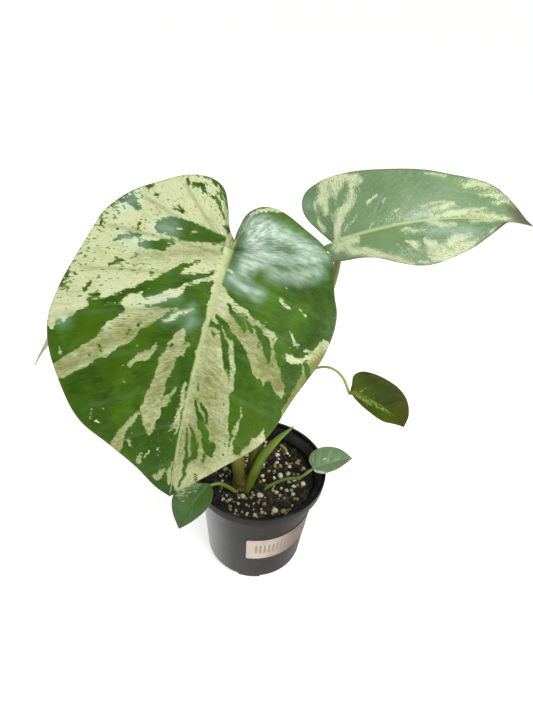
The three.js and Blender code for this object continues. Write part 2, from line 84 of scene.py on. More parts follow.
def spline(points: Sequence[Sequence[float]], count: int, runs_on: bool = True) -> Array:
    """Places points at even distances on the Catmull-Rom curve through the given points.

    Between two points the curve is the cubic with half the step between their neighbours as its
    slope at each of them.

    Args:
        points: Points that the curve passes through.
        count: How many points to place.
        runs_on: Whether the end slopes come from a mirrored neighbour, or from a repeated end.

    Returns:
        The placed points, one row each.
    """
    knots = np.asarray(points, dtype=float)
    before = 2 * knots[0] - knots[1] if runs_on else knots[0]
    after = 2 * knots[-1] - knots[-2] if runs_on else knots[-1]
    padded = np.vstack([before, knots, after])
    place = np.linspace(0, len(knots) - 1, 60 * (len(knots) - 1) + 1)
    low = np.minimum(place.astype(int), len(knots) - 2)
    share = (place - low)[:, None]
    p0, p1, p2, p3 = (padded[low + step] for step in range(4))
    slope1 = (p2 - p0) / 2
    slope2 = (p3 - p1) / 2
    dense = (2 * share**3 - 3 * share**2 + 1) * p1 + (share**3 - 2 * share**2 + share) * slope1
    dense += (3 * share**2 - 2 * share**3) * p2 + (share**3 - share**2) * slope2
    steps = np.linalg.norm(np.diff(dense, axis=0), axis=1)
    lengths = np.concatenate([[0.0], np.cumsum(steps)])
    wanted = np.linspace(0, lengths[-1], count)
    return np.column_stack([np.interp(wanted, lengths, column) for column in dense.T])


def rounded(profile: Sequence[Pair], radius: float, steps: int = 5) -> Array:
    """Rounds the inner corners of a profile with parabolas: (1-s)^2 a + 2s(1-s) corner + s^2 b.

    Args:
        profile: Corner points in order.
        radius: How far from a corner its curve starts, at most 0.45 of the side.
        steps: Points on each curve.

    Returns:
        The rounded profile, one point a row.
    """
    corners = np.asarray(profile, dtype=float)
    middle = corners[1:-1]
    to_last = corners[:-2] - middle
    to_next = corners[2:] - middle
    reach_last = np.minimum(radius, 0.45 * np.linalg.norm(to_last, axis=1))[:, None]
    reach_next = np.minimum(radius, 0.45 * np.linalg.norm(to_next, axis=1))[:, None]
    a = (middle + unit(to_last) * reach_last)[:, None]
    b = (middle + unit(to_next) * reach_next)[:, None]
    share = np.linspace(0, 1, steps)[None, :, None]
    curves = (1 - share) ** 2 * a + 2 * share * (1 - share) * middle[:, None] + share**2 * b
    return np.vstack([corners[:1], curves.reshape(-1, 2), corners[-1:]])


def lattice(rows: int, columns: int) -> Array:
    """Lists the triangles of a grid of points, two to each cell."""
    corner = np.arange(rows * columns).reshape(rows, columns)
    a, b = corner[:-1, :-1], corner[:-1, 1:]
    d, c = corner[1:, :-1], corner[1:, 1:]
    return np.stack([a, b, c, a, c, d], axis=-1).reshape(-1, 3)


def ripples(points: Array, pitch: float, seed: int, waves: int = 7) -> Array:
    """Adds up sine waves in seeded directions: the mean of sin(2 pi p.d / pitch + phase), x 2.

    Args:
        points: Points with two or three coordinates in the last axis.
        pitch: Distance from crest to crest.
        seed: Choice of directions and phases.
        waves: How many waves are added.

    Returns:
        Heights of about -1 to 1, one for each point.
    """
    chance = np.random.default_rng(seed)
    directions = unit(chance.normal(size=(waves, points.shape[-1])))
    lengths = chance.uniform(0.7, 1.4, waves) * pitch
    phases = chance.uniform(0, 2 * math.pi, waves)
    turns = 2 * math.pi * np.einsum("...k,wk->...w", points, directions) / lengths + phases
    return 2 * np.sin(turns).mean(axis=-1)


@dataclass
class Surface:
    """A triangle mesh in the making.

    points are millimetres. pattern is each point's place on a flat drawing of the surface, also in
    millimetres, and marks are numbers that the finish reads at each point.
    """

    points: Array
    triangles: Array
    pattern: Array
    marks: dict[str, Array] = field(default_factory=dict)

    def joined(self, *others: "Surface") -> "Surface":
        """Puts this surface and others, which have the same marks, into one mesh."""
        parts = (self, *others)
        starts = np.cumsum([0] + [len(part.points) for part in parts[:-1]])
        triangles = [part.triangles + start for part, start in zip(parts, starts)]
        marks = {name: np.concatenate([part.marks[name] for part in parts]) for name in self.marks}
        return Surface(
            np.vstack([part.points for part in parts]),
            np.vstack(triangles),
            np.vstack([part.pattern for part in parts]),
            marks,
        )

    def outward(self) -> "Surface":
        """Turns the faces of a closed surface out: its volume, a sixth of a.(b x c), is positive."""
        a, b, c = (self.points[self.triangles[:, corner]] for corner in range(3))
        if np.einsum("ij,ij->", a, np.cross(b, c)) < 0:
            self.triangles = self.triangles[:, ::-1]
        return self

    def mesh(self, name: str) -> bpy.types.Mesh:
        """Welds points that coincide and writes the mesh, its pattern and its marks.

        Args:
            name: Name of the mesh.

        Returns:
            The mesh, in metres, smooth apart from its sharp edges.
        """
        keys = np.round(self.points / WELD_MM).astype(np.int64)
        _, kept, place = np.unique(keys, axis=0, return_index=True, return_inverse=True)
        corners = place.reshape(-1)[self.triangles]
        a, b, c = corners.T
        whole = (a != b) & (b != c) & (c != a)
        corners = corners[whole]
        mesh = bpy.data.meshes.new(name)
        mesh.vertices.add(len(kept))
        mesh.vertices.foreach_set("co", (self.points[kept] * METRES_PER_MM).ravel())
        mesh.loops.add(corners.size)
        mesh.loops.foreach_set("vertex_index", corners.astype(np.int32).ravel())
        mesh.polygons.add(len(corners))
        mesh.polygons.foreach_set("loop_start", np.arange(0, corners.size, 3, dtype=np.int32))
        layer = mesh.uv_layers.new(name=PATTERN)
        places = self.pattern[self.triangles[whole]] * METRES_PER_MM
        layer.data.foreach_set("uv", places.astype(np.float32).ravel())
        for mark, values in self.marks.items():
            attribute = mesh.attributes.new(mark, "FLOAT", "POINT")
            attribute.data.foreach_set("value", values[kept].astype(np.float32))
        mesh.update(calc_edges=True)
        mesh.validate()
        mesh.shade_smooth()
        mesh.set_sharp_from_angle(angle=math.radians(SHARP_DEGREES))
        return mesh

    def piece(
        self, name: str, material: Material, slot: str, replaces: Sequence[str] = ()
    ) -> bpy.types.Object:
        """Makes an object of the surface that rides on the part's body.

        Args:
            name: The piece's name.
            material: Its finish.
            slot: The record's material slot that it belongs to; not used.
            replaces: CAD nodes that it stands for.

        Returns:
            The new object.
        """
        obj = added(name, self.mesh(name))
        obj.data.materials.append(material)
        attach(obj, BODY)
        if replaces:
            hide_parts(*replaces)
        LOG.info("%s: %d triangles", name, len(obj.data.polygons))
        return obj


def added(name: str, data: Any) -> bpy.types.Object:
    """Makes an object of a mesh, a light or a camera and puts it into the scene."""
    obj = bpy.data.objects.new(name, data)
    bpy.context.scene.collection.objects.link(obj)
    return obj


def loft(rings: Array) -> Surface:
    """Skins closed loops of points in order and closes both ends at the loops' centres.

    Args:
        rings: Loops by points by coordinates; each loop's last point repeats its first.

    Returns:
        A closed surface; its pattern is (distance from ring to ring, distance round the ring).
    """
    first = np.broadcast_to(rings[:1, :-1].mean(axis=1, keepdims=True), rings[:1].shape)
    last = np.broadcast_to(rings[-1:, :-1].mean(axis=1, keepdims=True), rings[:1].shape)
    grid = np.concatenate([first, rings, last])
    along = np.concatenate([[0.0], np.cumsum(np.linalg.norm(np.diff(grid[:, 0], axis=0), axis=1))])
    middle = rings[len(rings) // 2]
    around = np.concatenate([[0.0], np.cumsum(np.linalg.norm(np.diff(middle, axis=0), axis=1))])
    pattern = np.stack(np.meshgrid(along, around, indexing="ij"), axis=-1)
    return Surface(grid.reshape(-1, 3), lattice(*grid.shape[:2]), pattern.reshape(-1, 2)).outward()


def circles(profile: Array, sides: int) -> Array:
    """Turns (radius, height) points about Z: (r cos a, r sin a, h) for each angle a."""
    angle = np.linspace(0, 2 * math.pi, sides + 1)
    radius, height = profile[:, :1], profile[:, 1:]
    flat = np.broadcast_to(height, (len(profile), sides + 1))
    return np.stack([radius * np.cos(angle), radius * np.sin(angle), flat], axis=-1)


def tube(path: Array, radii: Array, plane: Point, shape: Array) -> Surface:
    """Carries a section along a path: centre + radius x shape x (cos a x side + sin a x lift).

    Args:
        path: Centre of each ring.
        radii: Radius of each ring.
        plane: A direction that the path never runs along; side is at right angles to both.
        shape: Radius factor round the section, from angle 0 to a full turn.

    Returns:
        The closed tube.
    """
    tangent = unit(np.gradient(path, axis=0))
    side = unit(np.cross(tangent, plane))
    lift = np.cross(side, tangent)
    angle = np.linspace(0, 2 * math.pi, len(shape))
    reach = radii[:, None] * shape
    rings = path[:, None] + (reach * np.cos(angle))[..., None] * side[:, None]
    rings += (reach * np.sin(angle))[..., None] * lift[:, None]
    return loft(rings)


# Node materials


def tint(code: str) -> tuple[float, float, float, float]:
    """Reads a colour such as 7f9a4c as Blender's linear colour."""
    parts = np.array([int(code[start : start + 2], 16) for start in (0, 2, 4)]) / 255
    linear = np.where(parts <= 0.04045, parts / 12.92, ((parts + 0.055) / 1.055) ** 2.4)
    return (*linear.tolist(), 1.0)


Value = Union["Signal", float]
Colour = Union["Signal", str]


@dataclass(frozen=True)
class Signal:
    """An output socket with arithmetic: each operator adds a Math node to its shader."""

    shader: "Shader"
    socket: bpy.types.NodeSocket

    def math(self, operation: str, *values: Value, clamp: bool = False) -> "Signal":
        """Adds a Math node whose inputs are the given values in order."""
        settings = {"operation": operation, "use_clamp": clamp}
        return self.shader.node("ShaderNodeMath", settings, dict(enumerate(values)))

    def __add__(self, other: Value) -> "Signal":
        """self + other."""
        return self.math("ADD", self, other)

    def __radd__(self, other: Value) -> "Signal":
        """other + self."""
        return self.math("ADD", other, self)

    def __sub__(self, other: Value) -> "Signal":
        """self - other."""
        return self.math("SUBTRACT", self, other)

    def __rsub__(self, other: Value) -> "Signal":
        """other - self."""
        return self.math("SUBTRACT", other, self)

    def __mul__(self, other: Value) -> "Signal":
        """self x other."""
        return self.math("MULTIPLY", self, other)

    def __rmul__(self, other: Value) -> "Signal":
        """other x self."""
        return self.math("MULTIPLY", other, self)

    def clamped(self) -> "Signal":
        """Keeps the value from 0 to 1."""
        return self.math("ADD", self, 0.0, clamp=True)

    def rise(self, low: float, high: float) -> "Signal":
        """Goes smoothly from 0 at low to 1 at high."""
        settings = {"interpolation_type": "SMOOTHSTEP"}
        inputs = {"Value": self, "From Min": low, "From Max": high}
        return self.shader.node("ShaderNodeMapRange", settings, inputs)


class Shader:
    """A material's node tree with short ways to add nodes."""

    def __init__(self, name: str) -> None:
        """Starts an empty node material."""
        self.material = bpy.data.materials.new(name)
        self.material.use_nodes = True
        self.tree = self.material.node_tree
        self.tree.nodes.clear()

    def node(
        self, kind: str, settings: dict[str, Any], inputs: dict[Any, Any], output: Union[int, str] = 0
    ) -> Signal:
        """Adds a node.

        Args:
            kind: The node's type name.
            settings: Its properties, which are set first.
            inputs: Numbers, colours or signals for its sockets, by name or place.
            output: The socket that the result stands for.

        Returns:
            The chosen output.
        """
        made = self.tree.nodes.new(kind)
        for name, value in settings.items():
            setattr(made, name, value)
        for key, value in inputs.items():
            if isinstance(value, Signal):
                self.tree.links.new(value.socket, made.inputs[key])
            else:
                made.inputs[key].default_value = value
        return Signal(self, made.outputs[output])

    def mark(self, name: str) -> Signal:
        """Reads a number that the mesh holds at each point."""
        return self.node("ShaderNodeAttribute", {"attribute_name": name}, {}, "Fac")

    def pattern(self, stretch: Pair = (1.0, 1.0)) -> Signal:
        """The place on the surface's flat drawing in metres, stretched in its two directions."""
        place = self.node("ShaderNodeUVMap", {"uv_map": PATTERN}, {})
        return self.times(place, (stretch[0], stretch[1], 1.0))

    def place(self, stretch: Point = (1.0, 1.0, 1.0)) -> Signal:
        """The place in the part's own frame in metres, stretched along the axes."""
        return self.times(self.node("ShaderNodeTexCoord", {}, {}, "Object"), stretch)

    def times(self, vector: Signal, factors: Point) -> Signal:
        """Multiplies a vector by factors, axis by axis."""
        settings = {"operation": "MULTIPLY"}
        return self.node("ShaderNodeVectorMath", settings, {0: vector, 1: factors})

    def axis(self, vector: Signal, number: int) -> Signal:
        """One coordinate of a vector: 0 for X, 1 for Y, 2 for Z."""
        return self.node("ShaderNodeSeparateXYZ", {}, {0: vector}, number)

    def height(self) -> Signal:
        """The height in the part's own frame in metres."""
        return self.axis(self.place(), 2)

    def noise(self, vector: Signal, scale: float, detail: float = 2.0, roughness: float = 0.5) -> Signal:
        """Cloudy noise of about 0 to 1, with a mean of one half."""
        inputs = {"Vector": vector, "Scale": scale, "Detail": detail, "Roughness": roughness}
        return self.node("ShaderNodeTexNoise", {}, inputs)

    def cells(self, vector: Signal, scale: float) -> Signal:
        """Distance to the nearest of many scattered centres."""
        return self.node("ShaderNodeTexVoronoi", {}, {"Vector": vector, "Scale": scale})

    def mix(self, share: Value, low: Colour, high: Colour) -> Signal:
        """Blends two colours, each a signal or a code such as 7f9a4c."""
        settings = {"data_type": "RGBA", "clamp_factor": True}
        low, high = (tint(end) if isinstance(end, str) else end for end in (low, high))
        return self.node("ShaderNodeMix", settings, {0: share, 6: low, 7: high}, 2)

    def relief(self, height: Signal, depth_mm: float) -> Signal:
        """Turns a height of 0 to 1 into a bump of the given depth."""
        inputs = {"Height": height, "Distance": depth_mm * METRES_PER_MM, "Strength": 1.0}
        return self.node("ShaderNodeBump", {}, inputs)

    def finish(
        self, colour: Signal, roughness: Value, bump: Optional[Signal] = None, **constants: Any
    ) -> Material:
        """Ends the tree in a principled surface.

        Args:
            colour: The base colour.
            roughness: From 0, a mirror, to 1, chalk.
            bump: Normal from a bump node.
            **constants: Other sockets by name, with _ for a space.

        Returns:
            The finished material.
        """
        inputs: dict[Any, Any] = {"Base Color": colour, "Roughness": roughness}
        if bump is not None:
            inputs["Normal"] = bump
        for name, value in constants.items():
            inputs[name.replace("_", " ")] = value
        surface = self.node("ShaderNodeBsdfPrincipled", {}, inputs)
        output = self.tree.nodes.new("ShaderNodeOutputMaterial")
        self.tree.links.new(surface.socket, output.inputs["Surface"])
        return self.material


# Finishes


@dataclass(frozen=True)
class BladeFinish:
    """Leaf skin: green and cream tissue that meet in ragged edges along the veins.

    It reads these marks: cream, which turns the tissue from green to cream at 0; bloom_and_sheen, a
    pale grey bloom that also paints sheen, laying the pale sheen_film colour on the green above 0.8
    and on the cream; glow, painted backlight, bright yellow-green where light would shine through
    thin tissue, or dark tissue below 0; tan_and_shade, how aged the cream is, partly painted shade
    that darkens it; rib, vein, edge and under, each from 0 to 1. streak and speckle are the sizes in
    mm, across and along, of the streaks and specks that break up the border, and ragged and flecked
    are their strengths.
    """

    name: str
    cream: str = "c5cc9f"
    aged_and_shaded_cream: str = "7c8148"
    fringe: str = "8ca268"
    green: str = "4a6d20"
    deep: str = "28420f"
    slate: str = "6f9272"
    sheen_film: str = "c6dac6"
    painted_backlight: str = "3f5a00"
    rust: str = "7a6c30"
    margin: str = "5d5430"
    rib: str = "b2bd84"
    rib_line: str = "75893f"
    under_green: str = "7d9a68"
    streak: Pair = (1.8, 7.0)
    speckle: Pair = (1.4, 3.4)
    ragged: float = 2.8
    flecked: float = 4.2
    vein_share: float = 0.12
    specular: float = 0.22
    coat: float = 0.9
    roughness: float = 0.34
    wrinkle: float = 1.3

    def make(self) -> Material:
        """Builds the material.

        Returns:
            The material.
        """
        s = Shader(self.name)
        streaks = s.noise(s.pattern((1000 / self.streak[0], 1000 / self.streak[1])), 1.0, 3.0, 0.6)
        specks = s.noise(s.pattern((1000 / self.speckle[0], 1000 / self.speckle[1])), 1.0, 1.0, 0.5)
        clouds = s.noise(s.place(), 55.0, 3.0)
        fibres = s.noise(s.pattern((1400.0, 120.0)), 1.0, 3.0, 0.6)
        blisters = s.noise(s.pattern((230.0, 120.0)), 1.0, 2.0, 0.4)
        wrinkles = s.noise(s.pattern((650.0, 300.0)), 1.0, 2.0, 0.5)
        tissue = s.mark("cream") + (streaks - 0.5) * self.ragged + (specks - 0.5) * self.flecked
        creamness = tissue.rise(-0.1, 0.1)
        half_cream = (s.mark("cream") + (streaks - 0.5) * self.ragged).rise(-0.6, 0.1)
        bloom_and_sheen = s.mark("bloom_and_sheen")
        glow = s.mark("glow")
        vein = s.mark("vein")
        shade = (clouds - 0.5) * 1.8 + 0.5 + (fibres - 0.5) * 1.1 + (blisters - 0.5) * 0.8
        green = s.mix(shade, self.deep, self.green)
        green = s.mix((0.0 - glow).clamped() * 0.6, green, self.deep)
        # Painted backlight: bright yellow-green where light would shine through the blade.
        green = s.mix(glow.clamped() * (clouds + 0.4), green, self.painted_backlight)
        green = s.mix(bloom_and_sheen.clamped() * (0.3 + clouds), green, self.slate)
        crinkle = (fibres - 0.5) * 0.9 + (blisters - 0.5) * 1.6 + (wrinkles - 0.5) * 0.6 + 0.62
        # Painted sheen: the pale film colour on the green, broken up by crinkles.
        green = s.mix((bloom_and_sheen - 0.8).clamped() * crinkle.clamped(), green, self.sheen_film)
        green = s.mix(vein * self.vein_share, green, self.slate)
        green = s.mix(half_cream * 0.55, green, self.fringe)
        mottle = (streaks - 0.5) * 1.2 + (specks - 0.5) * 0.7 + (fibres - 0.5) * 1.2
        # Darker cream: partly aged tissue, partly painted shade over the dipped band and the lower blade.
        aged_and_shaded = (clouds - 0.5) * 1.1 + mottle + s.mark("tan_and_shade") * 0.8
        cream = s.mix(aged_and_shaded.clamped(), self.cream, self.aged_and_shaded_cream)
        cream = s.mix(((aged_and_shaded - 1.0) * 1.3).clamped(), cream, self.rust)
        # Painted sheen: the pale film colour on the cream as well.
        cream = s.mix(bloom_and_sheen.clamped() * 0.5, cream, self.sheen_film)
        cream = s.mix(vein * 0.5, cream, self.aged_and_shaded_cream)
        colour = s.mix(creamness, green, cream)
        rib = s.mark("rib")
        rib_lines = fibres.rise(0.5, 0.7) * 0.55
        rib_skin = s.mix(rib_lines, self.rib, self.rib_line)
        colour = s.mix(rib * (0.75 + rib_lines), colour, rib_skin)
        colour = s.mix(s.mark("edge") * (0.85 - creamness * 0.55), colour, self.margin)
        under = s.mark("under")
        pale = s.mix(creamness * 0.6 + 0.2, self.under_green, self.cream)
        colour = s.mix(under * 0.72, colour, pale)
        roughness = self.roughness + (clouds - 0.5) * 0.2 + creamness * 0.1 + under * 0.2
        skin = fibres * 0.08 + specks * 0.05 + blisters + wrinkles * 0.28
        bump = s.relief(skin + vein * -0.15, self.wrinkle)
        gloss = bloom_and_sheen.clamped() * self.coat + 0.04
        shine = {"Specular_IOR_Level": self.specular, "Coat_Weight": gloss, "Coat_Roughness": 0.24}
        return s.finish(colour, roughness, bump, **shine)


@dataclass(frozen=True)
class StalkFinish:
    """Smooth stem skin with long streaks; the mark grown runs from 0 at the foot to 1 at the end."""

    name: str
    foot: str = "8a7a58"
    body: str = "6f8c3c"
    top: str = "a8bf78"
    streak: str = "d8dca8"
    streak_share: float = 0.25
    roughness: float = 0.4

    def make(self) -> Material:
        """Builds the material.

        Returns:
            The material.
        """
        s = Shader(self.name)
        grown = s.mark("grown")
        long_lines = s.noise(s.pattern((30.0, 900.0)), 1.0, 4.0, 0.6)
        patches = s.noise(s.pattern((60.0, 200.0)), 1.0, 3.0, 0.6)
        pores = s.noise(s.pattern((700.0, 1400.0)), 1.0, 2.0)
        colour = s.mix(grown.rise(0.0, 0.3) + (patches - 0.5) * 0.5, self.foot, self.body)
        colour = s.mix(grown.rise(0.55, 1.0), colour, self.top)
        lines = (long_lines * 0.7 + patches * 0.5).rise(0.62, 0.78) * self.streak_share
        colour = s.mix(lines, colour, self.streak)
        bump = s.relief(long_lines * 0.6 + pores * 0.2, 0.25)
        return s.finish(colour, self.roughness + (pores - 0.5) * 0.2, bump, Coat_Weight=0.1)


@dataclass(frozen=True)
class CrownFinish:
    """Skin of the old stem: brown rings of leaf scars over dull green."""

    name: str = "old_stem_skin"
    scar: str = "39331a"
    skin: str = "565722"
    crust: str = "75683c"

    def make(self) -> Material:
        """Builds the material.

        Returns:
            The material.
        """
        s = Shader(self.name)
        rings = s.noise(s.place((60.0, 60.0, 420.0)), 1.0, 4.0, 0.65)
        crust = s.noise(s.place(), 700.0, 4.0)
        colour = s.mix(rings.rise(0.35, 0.65), self.scar, self.skin)
        colour = s.mix(crust.rise(0.55, 0.75) * 0.4, colour, self.crust)
        return s.finish(colour, 0.62 + (crust - 0.5) * 0.3, s.relief(rings * 0.8 + crust * 0.4, 0.5))


@dataclass(frozen=True)
class PlasticFinish:
    """Charcoal moulded plastic with a soft sheen, rubbed lighter in places and dusty low down.

    A painted sheen lightens its left side and the back of its lip; painted shade darkens its right
    side to brownish black, and its collar and the inside wall above the soil to near black.
    """

    name: str = "charcoal_plastic"
    base: str = "1d1c1b"
    worn: str = "303030"
    painted_sheen: str = "6a6a68"
    collar: str = "0d0d0c"
    painted_shade: str = "24180f"
    scratched: str = "707173"
    dust: str = "5f564a"

    def make(self) -> Material:
        """Builds the material.

        Returns:
            The material.
        """
        s = Shader(self.name)
        rubbed = s.noise(s.place((14.0, 14.0, 45.0)), 1.0, 4.0, 0.6)
        grain = s.noise(s.place(), 1500.0, 2.0)
        scratches = s.noise(s.place((90.0, 90.0, 1500.0)), 1.0, 3.0, 0.6)
        dirt = s.noise(s.place(), 140.0, 5.0, 0.65)
        colour = s.mix(rubbed.rise(0.35, 0.75), self.base, self.worn)
        x = s.axis(s.place(), 0)
        left = 1.0 - x.rise(-0.052, -0.012)
        below_collar = 1.0 - s.height().rise(0.084, 0.089)
        # Painted sheen: the left side of the body is lightened in patches with a pale grey.
        colour = s.mix(left * below_collar * (rubbed + 0.2), colour, self.painted_sheen)
        # Painted shade: the right side of the body is darkened to a brownish black.
        right = x.rise(-0.015, 0.02) * below_collar
        colour = s.mix(right * 0.8, colour, self.painted_shade)
        # Painted shade: the collar, the lip and the inside wall above the soil are darkened to near black.
        colour = s.mix((1.0 - below_collar) * 0.8, colour, self.collar)
        lip = s.height().rise(0.0962, 0.097)
        back = s.axis(s.place(), 1).rise(-0.01, 0.03)
        # Painted highlight: the back of the lip is lightened with the same pale grey.
        colour = s.mix(lip * back * (rubbed * 0.8 + 0.1), colour, self.painted_sheen)
        across = s.place((1.0, 1.0, 0.0))
        radius = s.node("ShaderNodeVectorMath", {"operation": "LENGTH"}, {0: across}, "Value")
        inside = (1.0 - radius.rise(0.0512, 0.0525)) * (1.0 - below_collar)
        gloss = (0.24 - right * 0.22 + left * 0.76) * (below_collar * 0.95 + 0.05 + lip * back) + inside * 0.5
        colour = s.mix(scratches.rise(0.5, 0.75) * 0.16, colour, self.scratched)
        near_top = s.height().rise(0.084, 0.0975)
        near_foot = 1.0 - s.height().rise(0.0, 0.012)
        dusty = dirt.rise(0.56, 0.72) * (near_top * 0.2 + near_foot * 0.5 + 0.06)
        colour = s.mix(dusty, colour, self.dust)
        roughness = 0.36 + rubbed * 0.14 + dusty * 0.4 + (grain - 0.5) * 0.08
        bump = s.relief(grain * 0.5 + scratches * 0.3, 0.08)
        return s.finish(
            colour, roughness, bump, Specular_IOR_Level=0.1, Coat_Weight=gloss, Coat_Roughness=0.32
        )


@dataclass(frozen=True)
class PaperFinish:
    """Pale label paper with soft fibres, a little stained, with painted shade darkening its right end,
    and a block of even plain bars.

    The block runs from block_start to block_end, in mm from the label's left end.
    """

    name: str = "label_paper"
    paper: str = "c6b6a8"
    fibre: str = "d6cabf"
    stain: str = "a48c78"
    shade: str = "6a5443"
    bar: str = "7d7068"
    bar_pitch: float = 3.4
    block_start: float = 7.0
    block_end: float = 47.0
    soft_edge: float = 0.2

    def make(self) -> Material:
        """Builds the material.

        Returns:
            The material.
        """
        s = Shader(self.name)
        around = s.axis(s.pattern(), 0)
        fibres = s.noise(s.place(), 900.0, 4.0, 0.6)
        stains = s.noise(s.place(), 60.0, 3.0)
        colour = s.mix(stains.rise(0.45, 0.75) * 0.6, self.paper, self.stain)
        colour = s.mix(fibres.rise(0.5, 0.8) * 0.25, colour, self.fibre)
        # Painted shade: the paper darkens towards the label's right end.
        colour = s.mix(around.rise(0.008, 0.044), colour, self.shade)
        level = s.mark("level")
        turns = around * (1000 / self.bar_pitch)
        share = turns.math("FRACT", turns)
        start, end = self.block_start * METRES_PER_MM, self.block_end * METRES_PER_MM
        soft = self.soft_edge * METRES_PER_MM
        block = around.rise(start, start + soft) * (1.0 - around.rise(end, end + soft))
        block = block * level.rise(0.3, 0.31) * (1.0 - level.rise(0.72, 0.73))
        bars = share.rise(0.08, 0.12) * (1.0 - share.rise(0.5, 0.54)) * block
        colour = s.mix(bars * (0.55 + fibres * 0.5), colour, self.bar)
        bump = s.relief(fibres * 0.6 + stains * 0.5, 0.12)
        return s.finish(colour, 0.62 + (fibres - 0.5) * 0.2, bump)


@dataclass(frozen=True)
class MixFinish:
    """Damp potting mix: near-black crumb with brown fibre and grey grit."""

    name: str = "potting_mix"
    damp: str = "100f0a"
    dry: str = "26221a"
    fibre: str = "332b1e"
    grit: str = "6a6248"

    def make(self) -> Material:
        """Builds the material.

        Returns:
            The material.
        """
        s = Shader(self.name)
        crumbs = s.cells(s.place(), 420.0)
        fine = s.noise(s.place(), 1100.0, 4.0, 0.65)
        broad = s.noise(s.place(), 170.0, 4.0, 0.6)
        colour = s.mix(fine.rise(0.4, 0.7), self.damp, self.dry)
        colour = s.mix(broad.rise(0.5, 0.7) * 0.5, colour, self.fibre)
        colour = s.mix((fine * 0.6 + broad * 0.4).rise(0.62, 0.7) * 0.5, colour, self.grit)
        height = crumbs * 0.8 + fine * 0.5 + broad * 0.6
        return s.finish(colour, 0.8 + (fine - 0.5) * 0.3, s.relief(height, 2.2))


@dataclass(frozen=True)
class GrainFinish:
    """Loose bits in the mix; the mark shade picks each bit's colour between two tints.

    pit_pitch is the size of the pits in mm and depth the relief's depth in mm.
    """

    name: str
    low: str
    high: str
    pit: str
    pit_share: float = 0.4
    pit_pitch: float = 1.1
    depth: float = 0.35
    roughness: float = 0.85

    def make(self) -> Material:
        """Builds the material.

        Returns:
            The material.
        """
        s = Shader(self.name)
        pits = s.noise(s.place(), 1000 / self.pit_pitch, 4.0, 0.65)
        broad = s.noise(s.place(), 300 / self.pit_pitch, 2.0)
        shade = s.mark("shade") + (broad - 0.5) * 0.6
        colour = s.mix(shade, self.low, self.high)
        colour = s.mix((1.0 - pits.rise(0.3, 0.52)) * self.pit_share, colour, self.pit)
        rough = self.roughness + (pits - 0.5) * 0.2
        return s.finish(colour, rough, s.relief(pits + broad * 0.5, self.depth))


# Leaves


# Rows: the share that fans out from the joint, where the fan ends and how rows are spread
FAN_SHARE = 0.33
FAN_END = 0.035
ROOT_POWER = 1.3
SWEEP_POWER = 1.2
MARGIN_INSET = 0.997

# Lengths as shares of the blade's length
MARGIN_LENGTH = 1.7
ROOT_LENGTH = 1.45
HALF_WIDTH = 0.55

# Veins: the left half's lag, the part of a fan row without veins, and where veins fade
VEIN_LAG = 0.12
FAN_BARE = 0.22
VEIN_FADE = 0.12
VEIN_END = 0.86

# Sizes in mm
THICKNESS = 0.7
VEIN_WIDTH = 1.1
FINE_VEIN_WIDTH = 0.5
BRUSH_SHAKE = 0.7
BRUSH_PITCH = 9.0
CRUMPLE_PITCH = 5.5
KNEE_DROP = 14
KNEE_LENGTH = 9
LUMP_PITCH = 17.0
RING_STEP = 1.6


class Paint(Enum):
    """What a brush lays on a blade: the mark it changes, its value there and its edge in mm."""

    CREAM = ("cream", 1.0, 3.0)
    SPECKLED = ("cream", 0.75, 5.0)
    MOTTLED = ("cream", 0.3, 8.0)
    FLECKED = ("cream", -0.55, 10.0)
    GREEN = ("cream", -1.5, 3.0)
    # BLOOM lays grey bloom, and a pale painted sheen on cream; SHEEN lays painted sheen where light shines
    # off the blade.
    BLOOM = ("bloom_and_sheen", 1.0, 9.0)
    SHEEN = ("bloom_and_sheen", 1.7, 14.0)
    # GLOW lays painted backlight, bright tissue as if lit from behind; DARK lays darker green.
    GLOW = ("glow", 1.0, 22.0)
    DARK = ("glow", -1.0, 22.0)
    # DULL and TAN_AND_SHADE darken the cream: partly aged tissue, partly painted shade.
    DULL = ("tan_and_shade", 0.6, 40.0)
    TAN_AND_SHADE = ("tan_and_shade", 1.0, 14.0)
    RUST = ("tan_and_shade", 2.0, 12.0)
    DRY = ("edge", 0.95, 5.0)
    SCORCHED = ("edge", 0.5, 9.0)


@dataclass(frozen=True)
class Stroke:
    """A brush stroke on the flattened blade: (across, along, half width) points of its spine."""

    paint: Paint
    spine: tuple[Point, ...]

    def cover(self, across: Array, along: Array) -> Array:
        """How much of the paint each place gets.

        The distance to the spine is the least, over its legs, of the distance to the nearest point
        of the leg minus the half width there.

        Args:
            across: Distance from the midrib, below 0 on the left.
            along: Distance along the midrib from the joint.

        Returns:
            Shares from 0 to 1.
        """
        legs = zip(self.spine, self.spine[1:] or self.spine)
        nearest = np.full(across.shape, np.inf)
        for (v0, u0, w0), (v1, u1, w1) in legs:
            leg_v, leg_u = v1 - v0, u1 - u0
            length = max(leg_v**2 + leg_u**2, 1e-9)
            share = np.clip(((across - v0) * leg_v + (along - u0) * leg_u) / length, 0, 1)
            gap = np.hypot(across - v0 - share * leg_v, along - u0 - share * leg_u)
            nearest = np.minimum(nearest, gap - w0 - share * (w1 - w0))
        softness = self.paint.value[2]
        return 1 - ease(-0.5 * softness, 0.5 * softness, nearest)


def strokes(paint: Paint, *spines: Sequence[Point]) -> list[Stroke]:
    """Makes one stroke of a paint for each spine."""
    return [Stroke(paint, tuple(spine)) for spine in spines]


